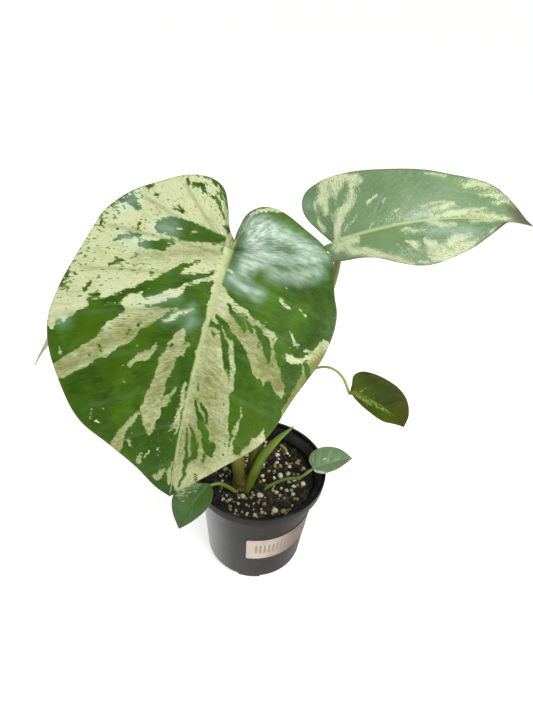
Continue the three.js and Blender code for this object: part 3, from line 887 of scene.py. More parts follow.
@dataclass
class Leaf:
    """One leaf: its blade, a curved sheet measured along and across its midrib, and its stalk.

    heading, pitch, roll and turn give the tip's direction; droop and bend turn the midrib down and
    sideways over span, and lobe turns it down behind the joint. fold lifts the left and the right
    half at the midrib and curl bends them over 100 mm. wave is the height of a ripple 60 mm from
    the midrib, and its length. The margins left and right are (across, along) points from the
    joint round the lobe to the tip. The midrib starts with rib_radius; the stalk bends towards the
    joint at the distance under below it. rows run from joint to tip with columns on each half, and
    veins leave the midrib on each side. base and bloom_and_sheen are marks before any paint, the
    second a grey bloom that also lays painted sheen; cream_strength scales the cream, and quilt
    and crumple are the skin's relief between veins and where the strokes lay the painted sheen.
    """

    name: str
    slot: str
    joint: Point
    heading: float
    pitch: float
    roll: float
    turn: float
    span: float
    droop: float
    bend: float
    lobe: float
    fold: Pair
    curl: Pair
    wave: Pair
    left: list[Pair]
    right: list[Pair]
    rib_radius: float
    under: float
    stalk: list[Point]
    stalk_radii: list[float]
    finish: BladeFinish
    stalk_finish: StalkFinish
    rows: int
    columns: int
    veins: int
    base: float = -1.5
    bloom_and_sheen: float = 0.0
    cream_strength: float = 1.0
    quilt: float = 0.12
    crumple: float = 0.0
    paint: list[Stroke] = field(default_factory=list)

    def __post_init__(self) -> None:
        """Works out the axes at the joint and the midrib, summed in steps of 1 mm."""
        heading, roll, turn = np.radians([self.heading, self.roll, self.turn])
        forward = bearing(self.heading, -self.pitch)
        level = np.array([-math.sin(heading), math.cos(heading), 0.0])
        up = np.cross(forward, level)
        side = level * math.cos(roll) + up * math.sin(roll)
        self.normal = up * math.cos(roll) - level * math.sin(roll)
        self.forward = forward * math.cos(turn) + side * math.sin(turn)
        self.side = side * math.cos(turn) - forward * math.sin(turn)
        self.tip = self.left[-1][1]
        reach = math.ceil(self.span * 1.1)
        self.stations = np.arange(-reach, reach + 1.0)
        steps = self.directions(self.stations[:-1] + 0.5)[0]
        line = np.vstack([np.zeros(3), np.cumsum(steps, axis=0)])
        self.midrib = line - line[reach] + np.array(self.joint)

    def directions(self, along: Array) -> tuple[Array, Array, Array]:
        """The midrib's direction, the direction across it and the normal at each place along it."""
        share = along / self.span
        down = np.radians(np.where(share > 0, self.droop, self.lobe) * share)[..., None]
        sideways = np.radians(self.bend * share)[..., None]
        forward = np.cos(down) * (np.cos(sideways) * self.forward + np.sin(sideways) * self.side)
        forward = forward - np.sin(down) * self.normal
        across = np.cos(sideways) * self.side - np.sin(sideways) * self.forward
        return forward, across, np.cross(forward, across)

    def points(self, along: Array, across: Array) -> Array:
        """The middle surface.

        A place is the midrib's point, plus out x the direction across, plus rise x the normal. A
        half bends as an arc from its fold angle, with a ripple that grows with the square of the
        distance from the midrib.

        Args:
            along: Distance along the midrib from the joint.
            across: Distance from the midrib, below 0 on the left.

        Returns:
            Points in mm.
        """
        right = across > 0
        lift = np.radians(np.where(right, self.fold[1], self.fold[0]))
        bend_per_mm = np.radians(np.where(right, self.curl[1], self.curl[0])) / 100
        distance = np.abs(across)
        end = lift + bend_per_mm * distance
        out = (np.sin(end) - np.sin(lift)) / bend_per_mm
        ripple = np.sin(2 * math.pi * along / self.wave[1] + right)
        rise = (np.cos(lift) - np.cos(end)) / bend_per_mm
        rise = rise + self.wave[0] * (distance / 60) ** 2 * ripple
        _, sideways, normal = self.directions(along)
        base = np.stack([np.interp(along, self.stations, line) for line in self.midrib.T], axis=-1)
        return base + (np.sign(across) * out)[..., None] * sideways + rise[..., None] * normal

    def normals(self, along: Array, across: Array) -> Array:
        """The surface's normals, from half-millimetre steps each way."""
        step = 0.5
        along_step = self.points(along + step, across) - self.points(along - step, across)
        across_step = self.points(along, across + step) - self.points(along, across - step)
        return unit(np.cross(along_step, across_step))

    def grid(self) -> tuple[Array, Array, Array, Array]:
        """Lays rows over the blade the way its side veins run.

        A row starts on the midrib and ends on both margins. Rows fan out from the joint to the
        lobes, and then leave the midrib in turn. Along a row the distance across grows evenly and
        the distance along as its 1.2th power, so the veins sweep towards the tip.

        Returns:
            Along, across, the row's share from joint to tip, and the place in the row from -1, the
            left margin, to 1, the right one.
        """
        share = np.linspace(0, 1, self.rows + 1)[:, None]
        place = np.linspace(-1, 1, 2 * self.columns + 1)[None, :]
        margins = [spline(line, self.rows + 1, runs_on=False) for line in (self.left, self.right)]
        left, right = (margin * MARGIN_INSET for margin in margins)
        on_left = place < 0
        margin_across = np.where(on_left, left[:, :1], right[:, :1])
        margin_along = np.where(on_left, left[:, 1:], right[:, 1:])
        passed = np.clip((share - FAN_SHARE) / (1 - FAN_SHARE), 0, None)
        start = FAN_END * self.tip
        root = start + (self.tip - start) * passed**ROOT_POWER
        reach = np.abs(place)
        along = root + (margin_along - root) * reach**SWEEP_POWER
        across = margin_across * reach
        return along, across, np.broadcast_to(share, along.shape), np.broadcast_to(place, along.shape)

    def vein_mark(self, share: Array, place: Array, per_blade: int, width: float) -> Array:
        """Bell curves across evenly spaced rows, exp(-(distance / width)^2), faded at both ends.

        Args:
            share: The row's share from joint to tip.
            place: The place in the row from -1 to 1.
            per_blade: How many veins leave the midrib on each side.
            width: Half width in mm.

        Returns:
            Shares from 0 to 1.
        """
        turns = share * per_blade + VEIN_LAG * np.sign(place)
        reach = np.abs(place)
        margin_length = MARGIN_LENGTH * self.tip
        root_length = np.where(share > FAN_SHARE, ROOT_LENGTH * self.tip, 0.0)
        pitch = (reach * margin_length + (1 - reach) * root_length) / per_blade
        distance = np.abs(turns - np.round(turns)) * pitch
        bare = np.where(share > FAN_SHARE, 0.0, FAN_BARE)
        fade = ease(bare, bare + VEIN_FADE, reach) * (1 - ease(VEIN_END, 1.0, reach))
        return np.exp(-((distance / width) ** 2)) * fade

    def brushed(self, along: Array, across: Array) -> dict[str, Array]:
        """Paints the strokes in order: value = value x (1 - cover) + paint x cover.

        Args:
            along: Distance along the midrib from the joint.
            across: Distance from the midrib.

        Returns:
            The marks cream, bloom, glow, tan and edge.
        """
        flat = np.stack([across, along], axis=-1)
        across = across + BRUSH_SHAKE * ripples(flat, BRUSH_PITCH, 11)
        along = along + BRUSH_SHAKE * ripples(flat, BRUSH_PITCH, 12)
        marks = {
            "cream": np.full(along.shape, self.base),
            "bloom_and_sheen": np.full(along.shape, self.bloom_and_sheen),
            "glow": np.zeros(along.shape),
            "tan_and_shade": np.zeros(along.shape),
            "edge": np.zeros(along.shape),
        }
        for stroke in self.paint:
            mark, value, _ = stroke.paint.value
            value = value * self.cream_strength if stroke.paint is Paint.CREAM else value
            cover = stroke.cover(across, along)
            marks[mark] = marks[mark] * (1 - cover) + value * cover
        return marks

    def blade(self) -> Surface:
        """Makes the blade as an upper and a lower skin that meet round the margin.

        The upper skin has a shallow channel along the midrib and grooves along the side veins, the
        lower one carries them as ridges.

        Returns:
            The closed blade.
        """
        along, across, share, place = self.grid()
        middle = self.points(along, across)
        normal = self.normals(along, across)
        reach = np.abs(place)
        veins = self.vein_mark(share, place, self.veins, VEIN_WIDTH)
        fine_veins = self.vein_mark(share, place, 4 * self.veins, FINE_VEIN_WIDTH)
        rib_width = self.rib_radius * (0.9 - 0.7 * np.clip(along / self.tip, 0, 1))
        rib = np.exp(-((across / (1.1 * rib_width)) ** 4)) * ease(-2.0, 1.5, along)
        puff = np.sin(math.pi * share * self.veins) ** 2 * ease(0, 0.3, reach) * (1 - ease(0.6, 1, reach))
        half = 0.5 * THICKNESS * (1 - 0.6 * ease(0.97, 1.0, reach))
        inside = 1 - ease(0.93, 1.0, reach)
        flat = np.stack([share * MARGIN_LENGTH * self.tip, place * HALF_WIDTH * self.tip], axis=-1)
        marks = self.brushed(along, across)
        sheen_film = np.clip(marks["bloom_and_sheen"] - self.bloom_and_sheen, 0, 1)
        crumples = self.crumple * sheen_film * ripples(flat * (1, 0.45), CRUMPLE_PITCH, 61, 9)
        top = half + inside * (self.quilt * (puff - veins - 0.35 * fine_veins) + crumples)
        top = top + 0.35 * np.exp(-((across / (0.55 * rib_width)) ** 2)) - 0.45 * rib
        ridge = 2.0 * rib_width * np.exp(-((across / rib_width) ** 2)) * ease(0.0, 4.0, along)
        low = half + inside * self.quilt * (1.6 * veins - puff) + ridge * (1 - ease(0.8, 0.98, share))
        marks["rib"] = rib
        marks["vein"] = veins
        to_margin = (1 - reach) * np.maximum(np.abs(across / np.maximum(reach, 0.01)), 3.0)
        marks["edge"] = np.maximum(marks["edge"], 1 - ease(0.1, 0.8, to_margin))
        flat = flat.reshape(-1, 2)
        skins = []
        for offset, is_under in ((top, 0.0), (-low, 1.0)):
            skin = {name: values.ravel() for name, values in marks.items()}
            skin["under"] = np.full(along.size, is_under)
            spots = middle + offset[..., None] * normal
            triangles = lattice(*along.shape)
            triangles = triangles[:, ::-1] if is_under else triangles
            skins.append(Surface(spots.reshape(-1, 3), triangles, flat, skin))
        blade = skins[0].joined(skins[1])
        corner = np.arange(along.size).reshape(along.shape)
        for column, flip in ((0, 1), (-1, -1)):
            a, b = corner[:-1, column], corner[1:, column]
            low_a, low_b = a + along.size, b + along.size
            rim = np.stack([a, b, low_b, a, low_b, low_a], axis=-1).reshape(-1, 3)
            blade.triangles = np.vstack([blade.triangles, rim[:, ::flip]])
        return blade.outward()

    def stalk_route(self) -> list[Point]:
        """The stalk's own points, one under the blade, and its end just below the middle surface."""
        inset = np.array(0.02 * self.span)
        end = self.points(inset, np.array(0.0))
        normal = self.normals(inset, np.array(0.0))
        bend = end - normal * self.under
        return [*self.stalk, tuple(bend), tuple(end)]

    def stalk_piece(self) -> Surface:
        """Makes the stalk: a tube with a shallow groove on top that swells at its knee.

        Returns:
            The closed stalk, with the mark grown along it.
        """
        route = self.stalk_route()
        length = np.linalg.norm(np.diff(spline(route, 60), axis=0), axis=1).sum()
        count = int(length / RING_STEP)
        path = spline(route, count)
        share = np.linspace(0, 1, count)
        radii = np.interp(share, np.linspace(0, 1, len(self.stalk_radii)), self.stalk_radii)
        to_end = (1 - share) * length
        knee = np.exp(-(((to_end - KNEE_DROP) / KNEE_LENGTH) ** 2))
        radii = radii * (1 + 0.10 * knee) * (0.45 + 0.55 * ease(0.0, 5.0, to_end))
        radii = radii + 0.02 * radii * ripples(path, LUMP_PITCH, 5)
        angle = np.linspace(0, 2 * math.pi, 29)
        shape = 1 - 0.10 * np.exp(-(((angle - math.pi / 2) / 0.35) ** 2)) + 0.015 * np.cos(9 * angle)
        chord = np.subtract(route[-2], route[0])
        plane = unit(np.array([-chord[1], chord[0], 0.0]))
        surface = tube(path, 0.97 * radii, tuple(plane), shape)
        grown = np.concatenate([[0.0], share, [1.0]])
        surface.marks["grown"] = np.repeat(grown, len(shape))
        return surface

    def build(self) -> None:
        """Makes the blade and the stalk and dresses them."""
        skin = self.finish.make()
        self.blade().piece(f"blade_{self.name}", skin, self.slot, [f"leaf_{self.name}"])
        stem = self.stalk_finish.make()
        self.stalk_piece().piece(f"petiole_{self.name}", stem, "stalk_skin", [f"stalk_{self.name}"])


LARGE_PAINT = [
    *strokes(Paint.SPECKLED, [(-30, 0, 26), (-50, 35, 30), (-66, 60, 14)], [(-12, 20, 12)]),
    *strokes(
        Paint.MOTTLED,
        [(-50, -11, 1), (-60, -1, 3), (-68, 12, 3), (-73, 24, 3), (-77, 40, 3), (-79, 56, 2)],
        [(-46, 30, 3), (-56, 34, 3)], [(-30, -18, 2), (-20, -18, 2), (-14, -10, 1)],
        [(-48, 12, 2), (-42, -2, 1)],
    ),
    # The right half
    *strokes(
        Paint.CREAM, [(3, -16, 0.7), (7, -21, 1.1), (13, -24, 1.5), (19, -25.5, 0.8)],
        [(55, -19.5, 0.7), (60, -17, 1)], [(35.5, 22.5, 1.1), (39, 24.3, 1), (44.5, 25.4, 0.3)],
        [(50.5, 23.4, 0.4), (52.5, 25, 0.4), (55.5, 26.7, 0.7)],
        [(58, 31.5, 0.3), (61, 33, 0.6), (63, 34.4, 0.5)],
        [(2.5, 15.5, 0.4), (4.5, 17.5, 0.8), (6.5, 18.6, 0.3)], [(36.5, 14.5, 0.4), (37.5, 15.3, 0.4)],
        [(10.5, 12.4, 0.4)],
        [(1, 30, 4), (5, 38, 8), (14, 42, 8), (24, 48, 9), (34, 56, 10), (42, 66, 9), (50, 74, 5.5),
         (56, 82, 2)],
        [(4, 55, 5), (8, 70, 8.5), (11, 85, 11.5), (13, 100, 13), (15, 115, 14), (14, 127, 14),
         (8, 142, 9)], [(26, 128, 5), (36, 121, 5), (46, 114, 5.5)],
        [(32, 41, 1.5), (37, 44, 2.4), (41, 47, 1.4)], [(50, 53, 1.4), (54, 54, 1.6), (57, 53, 1)],
        [(49, 57, 1.6), (56, 56, 2.4), (63, 55, 2.2), (67, 61, 1.5)],
        [(62, 47, 1.8), (67, 51, 3.2), (74, 52, 6), (79, 44, 7), (76, 38, 1.6)],
        [(72, 62, 5), (69, 70, 4), (66, 79, 3.4), (62, 88, 2.6), (60, 96, 1.6)],
    ),
    *strokes(
        Paint.MOTTLED, [(8, 34, 2), (24, 42, 4), (36, 48, 4), (46, 60, 4), (52, 72, 3)],
        [(68, 50, 3), (70, 66, 4), (64, 80, 4)],
    ),
    *strokes(
        Paint.GREEN, [(40, 38, 4), (46, 43, 5), (52, 48, 4.6), (57, 52, 2)],
        [(20, 26, 3), (40, 31, 4), (60, 38, 5), (68, 39, 4)],
        [(8, 35.5, 0.5), (11, 38.5, 1.3), (13, 40, 0.6)],
        [(14, 38.5, 0.8), (17, 42, 1.9), (20, 45.5, 1.3), (21, 47.5, 0.5)],
        [(20, 39.5, 0.6), (23, 43, 1.2), (25, 46, 0.6)],
        [(27, 43, 1.2), (30, 45.5, 2), (33, 48.5, 2.2), (36, 52, 2.3), (38, 56.5, 2), (39.5, 61, 1.2)],
        [(33, 40, 1), (36, 40.5, 0.9)], [(31, 52, 0.5), (32, 54, 0.5)],
        [(42, 47, 2.2), (44, 52, 1.8), (46, 57, 1.5), (48, 61, 0.9)],
        [(57, 44, 2), (62, 45, 2.4), (67, 44, 2)], [(57, 49.5, 1.4), (62, 51, 1), (66, 50, 0.8)],
        [(5, 43, 0.8), (10, 47, 2), (15, 53, 3), (23, 61, 3.6), (28, 73, 4.6), (31, 86, 6.6), (36, 101, 10),
         (36, 112, 6), (35, 119, 3)],
        [(44, 75, 2.5), (46, 86, 6), (50, 93, 8), (48, 102, 6.5), (45, 108, 3.5)],
        [(49, 59, 2), (54, 65, 4.5), (60, 72, 4), (61, 78, 2), (57.5, 82, 1.4), (60, 85, 0.6)],
        [(65, 57, 1.3), (70, 61, 2.4), (74, 67, 1.6), (71, 73, 1.2), (67.5, 82, 0.8)],
        [(6.5, 47, 0.3), (9, 51, 0.4), (12, 58, 0.7), (15, 65, 1.2), (16.5, 69.5, 0.6)],
        [(4.5, 93, 0.7), (7, 99, 1.2), (11, 106, 1.9), (14, 112, 2.4), (16, 119, 2.6), (18.5, 124, 0.9)],
        [(8.5, 93, 0.8), (11.5, 98, 1.3), (13.5, 104, 0.8)],
        [(4.5, 107, 0.4), (7, 112, 0.8), (9.5, 119, 2.2), (10, 126, 1.8), (7, 131, 0.8)],
        [(19.5, 115, 0.8), (20, 120, 1.3), (20.3, 125, 0.7)], [(15.5, 125, 1.2), (15.8, 129, 0.5)],
        [(3.2, 110, 0.4), (4.5, 118, 0.8), (5.7, 129, 0.9), (6.3, 140, 0.9), (4, 147, 0.6)],
        [(12, 138, 0.7), (13.5, 141, 0.5)], [(3.3, 82.5, 0.5), (5, 85.5, 0.6)],
        [(5, 52, 0.6), (6, 54, 0.4)], [(37, 73, 0.5), (38.5, 77, 0.6)], [(37, 62, 0.7)],
        [(43.5, 62.5, 0.7)], [(45.5, 68, 0.6)], [(37, 123, 0.6)], [(27, 123, 0.6)],
        [(26, 114.5, 0.4), (27, 117, 0.5)], [(15, 88, 0.5)], [(20, 91, 0.4)],
    ),
    *strokes(
        Paint.CREAM, [(46.5, 38.5, 0.3), (51, 42, 0.7), (55, 45.6, 1.4), (56.5, 49.5, 0.6)],
        [(8, 49, 0.6), (12, 53, 1), (15.5, 55, 0.9)],
        [(16, 55, 1), (18.5, 64, 1.7), (21, 73, 1.6), (23, 82, 1)],
        [(30.5, 91.5, 0.4), (31.5, 96, 0.8), (30.5, 100, 0.3), (31, 105, 1.2), (30.5, 111, 0.5),
         (31, 118, 0.9)], [(48, 104, 0.5), (48.5, 109, 1.8), (47, 114, 4)],
        [(38, 42.5, 0.6), (42, 44.5, 0.8), (40.5, 48, 1)],
    ),
    *strokes(Paint.FLECKED, [(44, 46, 2), (50, 50, 2), (60, 47, 2)], [(58, 68, 2), (62, 78, 1)]),
    # The left half
    *strokes(
        Paint.GREEN,
        [(-16, 76, 14), (-30, 90, 18), (-46, 100, 20), (-30, 120, 16), (-16, 140, 15), (-9, 108, 8)],
        [(-5, 68, 4), (-6, 85, 5), (-6, 105, 5), (-6, 125, 5), (-5, 150, 4)],
    ),
    *strokes(
        Paint.FLECKED, [(-3, 86, 1), (-5, 100, 2), (-7, 112, 2)],
        [(-14, 114, 1), (-12, 126, 1.5), (-6, 138, 2)], [(-25, 118, 1), (-26, 126, 1)], [(-46, 110, 1.5)],
        [(-38, 84, 1), (-36, 90, 1)],
    ),
    # The left lobe
    *strokes(
        Paint.GREEN, [(-5, 2, 1.4), (-14, 3.2, 3.6), (-25, 5, 5.5), (-33, 6, 5.2), (-40, 7.5, 2.6)],
        [(-30, 13.5, 0.7), (-36, 14.5, 0.7)], [(-32, 15.6, 0.5), (-38, 16.2, 0.6)],
        [(-34, 17.5, 0.7), (-40, 18, 2.1), (-46, 19.5, 1.6)],
        [(-48, 15, 0.8), (-54, 17.5, 1.3), (-60, 21, 0.9)], [(-54, 2.5, 1.2), (-59, 0, 2.0), (-63, 3, 0.8)],
        [(-31, -20.5, 0.8), (-26, -20.5, 1.5), (-23.5, -18.5, 0.9)], [(-17, -20, 0.8), (-15, -18.5, 0.6)],
        [(-19, -17, 0.6), (-14, -15, 0.8), (-9, -9.5, 0.5)], [(-7, -5, 0.8), (-3, -1.5, 0.9)],
        [(-35, -21, 0.7), (-33, -19, 0.6)], [(-36, -3.5, 0.5), (-30.5, -3.5, 0.5)],
        [(-35, -5.6, 0.4), (-31, -5.2, 0.5)], [(-47, -6.5, 0.8)], [(-53, -10, 0.7), (-51, -11, 0.5)],
        [(-51, 12, 0.6), (-50, 9, 0.5)], [(-60, 15.5, 0.8)], [(-69, 15.5, 1.1)],
        [(-59, 33, 0.6), (-56, 31, 0.7), (-51, 30.5, 0.6)], [(-47, 25.5, 0.6)], [(-36, 31.5, 0.6)],
        [(-15, 18.5, 0.7)],
    ),
    *strokes(
        Paint.CREAM, [(-31, 5, 0.6), (-28, 5, 0.5)], [(-23, 4.5, 0.6), (-20, 3.2, 0.3)],
        [(-3, -2, 1.4), (-2, 4, 2), (-1, 20, 2.2), (-0.5, 50, 1.6), (0, 80, 1)],
    ),
    # Green streaks that run from the midrib to the left margin
    *strokes(
        Paint.GREEN,
        [(-16.5, 21, 0.7), (-22, 23, 1.3), (-25, 28, 2), (-29, 32, 2.2), (-35, 37, 1.9), (-41, 41, 1.5),
         (-46, 45, 1.7), (-50, 49, 1.5), (-56, 52, 1.3), (-61, 56, 2.5)],
        [(-4.5, 20.5, 0.5), (-10, 24.5, 1.5), (-17, 28, 2), (-22, 31.5, 3), (-29, 37, 2.3), (-36, 43, 1.6)],
        [(-4, 27, 1.2), (-9, 32, 3.4), (-13, 37, 4.2), (-19, 43, 2.6), (-28, 46, 2), (-34, 48.5, 1)],
        [(-4, 40, 1), (-9, 45, 2.5), (-13, 51, 4.2), (-18, 57, 5.5), (-24, 62, 6), (-31, 65, 5),
         (-36, 68, 3)], [(-46, 53, 2), (-55, 59, 4.5), (-63, 66, 8), (-70, 73, 8), (-77, 80, 4)],
        [(-66, 46, 0.8), (-68, 49, 0.9)], [(-60, 49, 1), (-64, 53, 0.9)], [(-75, 43, 0.9)],
        [(-79, 45, 0.7)],
    ),
    *strokes(
        Paint.SPECKLED, [(-18, 44.5, 0.6), (-24, 48.5, 1.2), (-30, 53, 2.4), (-37, 58, 4), (-45, 66, 6)],
    ),
    *strokes(
        Paint.CREAM, [(-17, 35.5, 0.9), (-22, 38.5, 1.5), (-29, 43.5, 1.8), (-35, 47.5, 1.4)],
        [(-9, 43, 0.6), (-14, 46.5, 1.3), (-19, 50.5, 1.2), (-23, 54, 0.7)],
        [(-40, 63, 5.5), (-48, 71, 6), (-57, 79, 5), (-66, 87, 5), (-74, 93, 4)],
        [(-81, 55, 3), (-81, 66, 2.6), (-79.5, 72, 1)], [(-74, 66, 1.3), (-71, 62, 0.8)],
        [(-73.5, 80, 0.5), (-73, 84, 0.9)],
    ),
    *strokes(
        Paint.GREEN, [(-53, 74, 0.6), (-52, 77, 0.7)], [(-57, 79.5, 0.5), (-56, 80, 0.4)],
        [(-65.5, 88, 0.7)], [(-40, 65, 0.6), (-39, 62, 0.5)], [(-35, 58.5, 0.6)],
    ),
    # Cream in the lower left
    *strokes(
        Paint.CREAM, [(-23, 66, 0.5), (-25, 71, 1.7), (-30, 75, 2.2), (-35, 80, 1.6)],
        [(-12, 58, 2.2), (-14, 66, 4), (-16, 75, 4.3), (-17, 85, 3.8), (-18, 95, 5), (-18.5, 103, 5.6),
         (-18, 110, 3.2), (-17.5, 116, 0.8)], [(-8, 87, 0.5), (-10.5, 93, 1.2), (-12, 98, 1.5)],
        [(-25.5, 105, 1.2), (-29.5, 112, 1.8), (-33, 120, 2.3), (-34, 127, 3.4)],
        [(-7, 62, 1.6), (-9, 68, 0.8)], [(-3, 84, 0.8), (-2, 95, 1.2), (-3, 104, 1.4), (-5.5, 112, 0.6)],
        [(-2, 107, 0.8), (-2.5, 114, 0.5)], [(-50, 108, 0.6), (-50.3, 112.5, 0.6)],
        [(-46.5, 113.5, 0.8), (-44.5, 114, 0.4)], [(-33, 70, 0.7)], [(-36.5, 89, 0.5)],
        [(-44.5, 105.5, 0.5)], [(-20, 128, 0.4), (-20.3, 133, 1.7)], [(-16.5, 127, 0.6), (-17.5, 130, 0.4)],
        [(-28, 121, 0.6), (-27, 123.5, 0.6)], [(-11.5, 140.5, 0.8), (-8.5, 141.5, 2.1), (-5, 137.5, 0.8)],
        [(-2, 132, 0.6), (-2.2, 140, 1.1), (-1.5, 147, 0.6)], [(-10.5, 124, 0.5)], [(-5, 118, 0.5)],
    ),
    *strokes(Paint.GREEN, [(-15, 64.5, 0.9), (-16, 66.5, 0.5)], [(-24, 106, 0.9)], [(-18, 111.5, 0.6)]),
    # Darker cream over the lower half and the dipped band: partly aged tissue, partly painted shade
    *strokes(Paint.DULL, [(12, 70, 34), (6, 140, 50)], [(-14, 90, 14)]),
    *strokes(
        Paint.TAN_AND_SHADE, [(-40, 62, 5), (-57, 79, 6), (-74, 92, 5)], [(-12, 58, 3), (-17, 85, 5), (-18, 112, 6)],
        [(-26, 46, 2), (-32, 55, 3), (-42, 64, 4)], [(-33, 110, 3), (-34, 128, 5)], [(-9, 141, 5)],
        [(-25, 68, 3), (-35, 80, 3)], [(-8, 10, 2), (-25, 17, 2), (-45, 25, 1)],
        [(-20, 46, 1), (-30, 57, 2), (-42, 66, 2)], [(14, 44, 4), (34, 56, 8), (52, 76, 6)],
        [(6, 66, 3), (10, 95, 8), (14, 122, 12)], [(40, 124, 6)], [(77, 42, 5)],
    ),
    *strokes(Paint.RUST, [(82, 48, 3), (77, 56, 6), (70, 70, 5), (62, 88, 4)], [(52, 74, 2)]),
    # Painted sheen on the upper right lobe, where the light shines off it
    *strokes(
        Paint.SHEEN, [(9, -10, 6), (13, 2, 7), (10, 12, 4)],
        [(14, -12, 5), (30, -13, 4), (44, -14, 3), (56, -14, 2)], [(20, 2, 4), (34, -2, 3), (44, -8, 2)],
        [(5, 20, 2), (14, 23, 2)], [(46, -10, 3), (56, -4, 2)],
    ),
    # Grey bloom; on the right lobe it widens the painted sheen, and on cream it lays a pale painted sheen
    *strokes(
        Paint.BLOOM, [(28, 10, 4), (44, 4, 5), (54, -2, 3)], [(22, 24, 4)], [(-58, 0, 4), (-62, 6, 3)],
        [(-34, 7, 5), (-41, 8, 3)], [(-46, 19, 3), (-56, 19, 3)], [(-10, 43, 1.5), (-22, 53, 1.5)],
        [(-20, 39, 2), (-34, 47, 2)], [(-8, 50, 3), (-11, 54, 2)], [(-74, 66, 3)],
    ),
    # Painted backlight: bright yellow-green tissue as if lit from behind
    *strokes(
        Paint.GLOW, [(38, 92, 4), (42, 100, 8), (38, 112, 5)], [(-62, 64, 5), (-50, 74, 3)],
        [(80, 20, 4), (80, 30, 4)], [(-44, 85, 2), (-30, 66, 2)],
    ),
    *strokes(
        Paint.DARK, [(-5, 78, 6), (-6, 125, 8)], [(68, 10, 5), (66, 30, 4)], [(-20, 6, 4)],
        [(76, 8, 3), (83, 26, 4), (78, 40, 3)],
        [(-62, 100, 4), (-45, 114, 5), (-28, 125, 4), (-12, 136, 4)], [(58, 64, 5), (50, 84, 3)],
    ),
]

UPPER_PAINT = [
    *strokes(
        Paint.FLECKED, [(4, 36, 4), (5, 70, 5), (3, 104, 4)], [(-6, 46, 4), (-8, 84, 5)],
        [(-20, 40, 5), (-22, 80, 6), (-10, 100, 3)], [(22, 84, 5), (13, 108, 4)], [(16, 8, 6), (30, 20, 6)],
    ),
    *strokes(
        Paint.SPECKLED, [(-4, 2, 4), (-3, 8, 4.5), (-3, 14, 3)],
        [(-9, 8, 3), (-13, 18, 3.3), (-18, 27, 2.2), (-22, 34, 1.8), (-27, 44, 1)],
        [(-26, 59, 2.6), (-24, 66, 5), (-22, 74, 4.5), (-20, 81, 3), (-16, 88, 1.4)],
        [(20, 2, 2), (29, 4, 5), (35, 8, 6), (36, 16, 6), (34, 24, 3)],
        [(-2, 88, 1), (-1, 100, 1.2), (1, 112, 1)],
        [(1.6, 62, 0.8), (2, 84, 1), (2, 104, 0.9), (1.5, 118, 0.6)], [(-17, 59, 2.4), (-15, 57, 2.6)],
    ),
    *strokes(
        Paint.MOTTLED, [(34, 10, 4), (33, 20, 3), (26, 8, 2)], [(16, 9, 3), (22, 16, 3)],
        [(-20, 60, 4), (-20, 78, 4)],
    ),
    *strokes(
        Paint.CREAM, [(1, 3, 1.3), (8, 6, 1.9), (14, 9, 2.3), (18, 14, 2.8), (21, 19, 1.8), (28, 20, 1.1)],
        [(9, -2.5, 0.8), (15, -4, 1.3), (19, -3, 0.6)], [(22, -3, 0.8), (28, -2, 1.1)], [(-17, 33, 0.5)],
        [(-13, 38, 0.7)], [(-12.5, 44, 0.8), (-15, 48.5, 2), (-17, 49, 1)], [(-15, 55, 1), (-16.5, 60, 2)],
        [(-27, 49, 0.8), (-27.5, 54, 0.7)], [(-16, 70, 1.8), (-14, 75, 2.6), (-13, 81, 2), (-12, 86, 0.7)],
        [(-2, 60, 1.3), (-1.5, 65, 1.7), (-4.5, 68, 1.4), (-4, 76, 1.4)],
        [(-4.5, 42, 0.5), (-5.5, 50, 0.7), (-6.5, 56, 0.5)],
        [(15.5, 25, 0.5), (18, 28, 1.5), (20.5, 32.5, 0.9)], [(2, 24, 0.5), (4, 27.5, 0.5)],
        [(4, 9, 0.3), (8, 14, 0.5), (12, 19, 0.3)], [(15.5, 35, 0.3), (17, 37, 0.4)],
        [(7.5, 40.5, 0.3), (9.5, 43.5, 0.4)],
        [(3, 72, 1.6), (3.5, 80, 1.7), (4, 86, 2.1), (5.5, 93, 0.9), (6.5, 98, 0.3)],
        [(6, 64, 0.5), (8, 71, 1.4), (8.5, 77, 0.8)], [(9, 58, 0.3), (10, 66, 0.5), (11, 73, 0.6)],
        [(29.5, 62, 0.7), (28, 68, 0.9), (27, 75, 0.6)],
        [(20.5, 86, 1.1), (22, 92, 1.9), (21, 98, 2), (22, 103, 0.7)],
        [(14.5, 95, 0.3), (15.5, 101, 0.6), (14.5, 107, 1.2), (16.5, 111, 0.8)],
        [(10, 103, 0.3), (11, 109, 0.9), (12, 114, 0.4), (14.5, 116.5, 0.9), (12.5, 119, 0.7)],
        [(-9, 100, 0.6), (-6.5, 104.5, 0.5)],
    ),
    *strokes(
        Paint.GREEN, [(20, 6, 1.2), (26, 7, 1.2)], [(22, 11, 1.6), (30, 16, 1.8)], [(33, 17, 1.2)],
        [(10, 1, 1), (16, 3, 1.4)],
    ),
    *strokes(
        Paint.BLOOM, [(2, 48, 1.5), (5, 60, 1.5)], [(-8, 60, 4), (-10, 92, 3)], [(28, -6, 4)], [(5, 10, 2)],
    ),
    *strokes(Paint.DARK, [(22, 6, 3)], [(10, 0, 2)], [(8, 122, 3), (5, 134, 4)]),
    # Painted backlight
    *strokes(Paint.GLOW, [(-6, 22, 3), (-8, 45, 2)], [(23, 80, 2), (24, 86, 2)]),
    *strokes(Paint.MOTTLED, [(24, 90, 1.5), (17, 108, 1.2), (10, 118, 1)]),
    *strokes(Paint.SCORCHED, [(10, 115, 2), (6, 119, 4), (2, 124, 5)]),
    *strokes(Paint.DRY, [(9, 118, 2), (6, 123, 4), (2, 130, 6), (0, 136, 6)]),
]

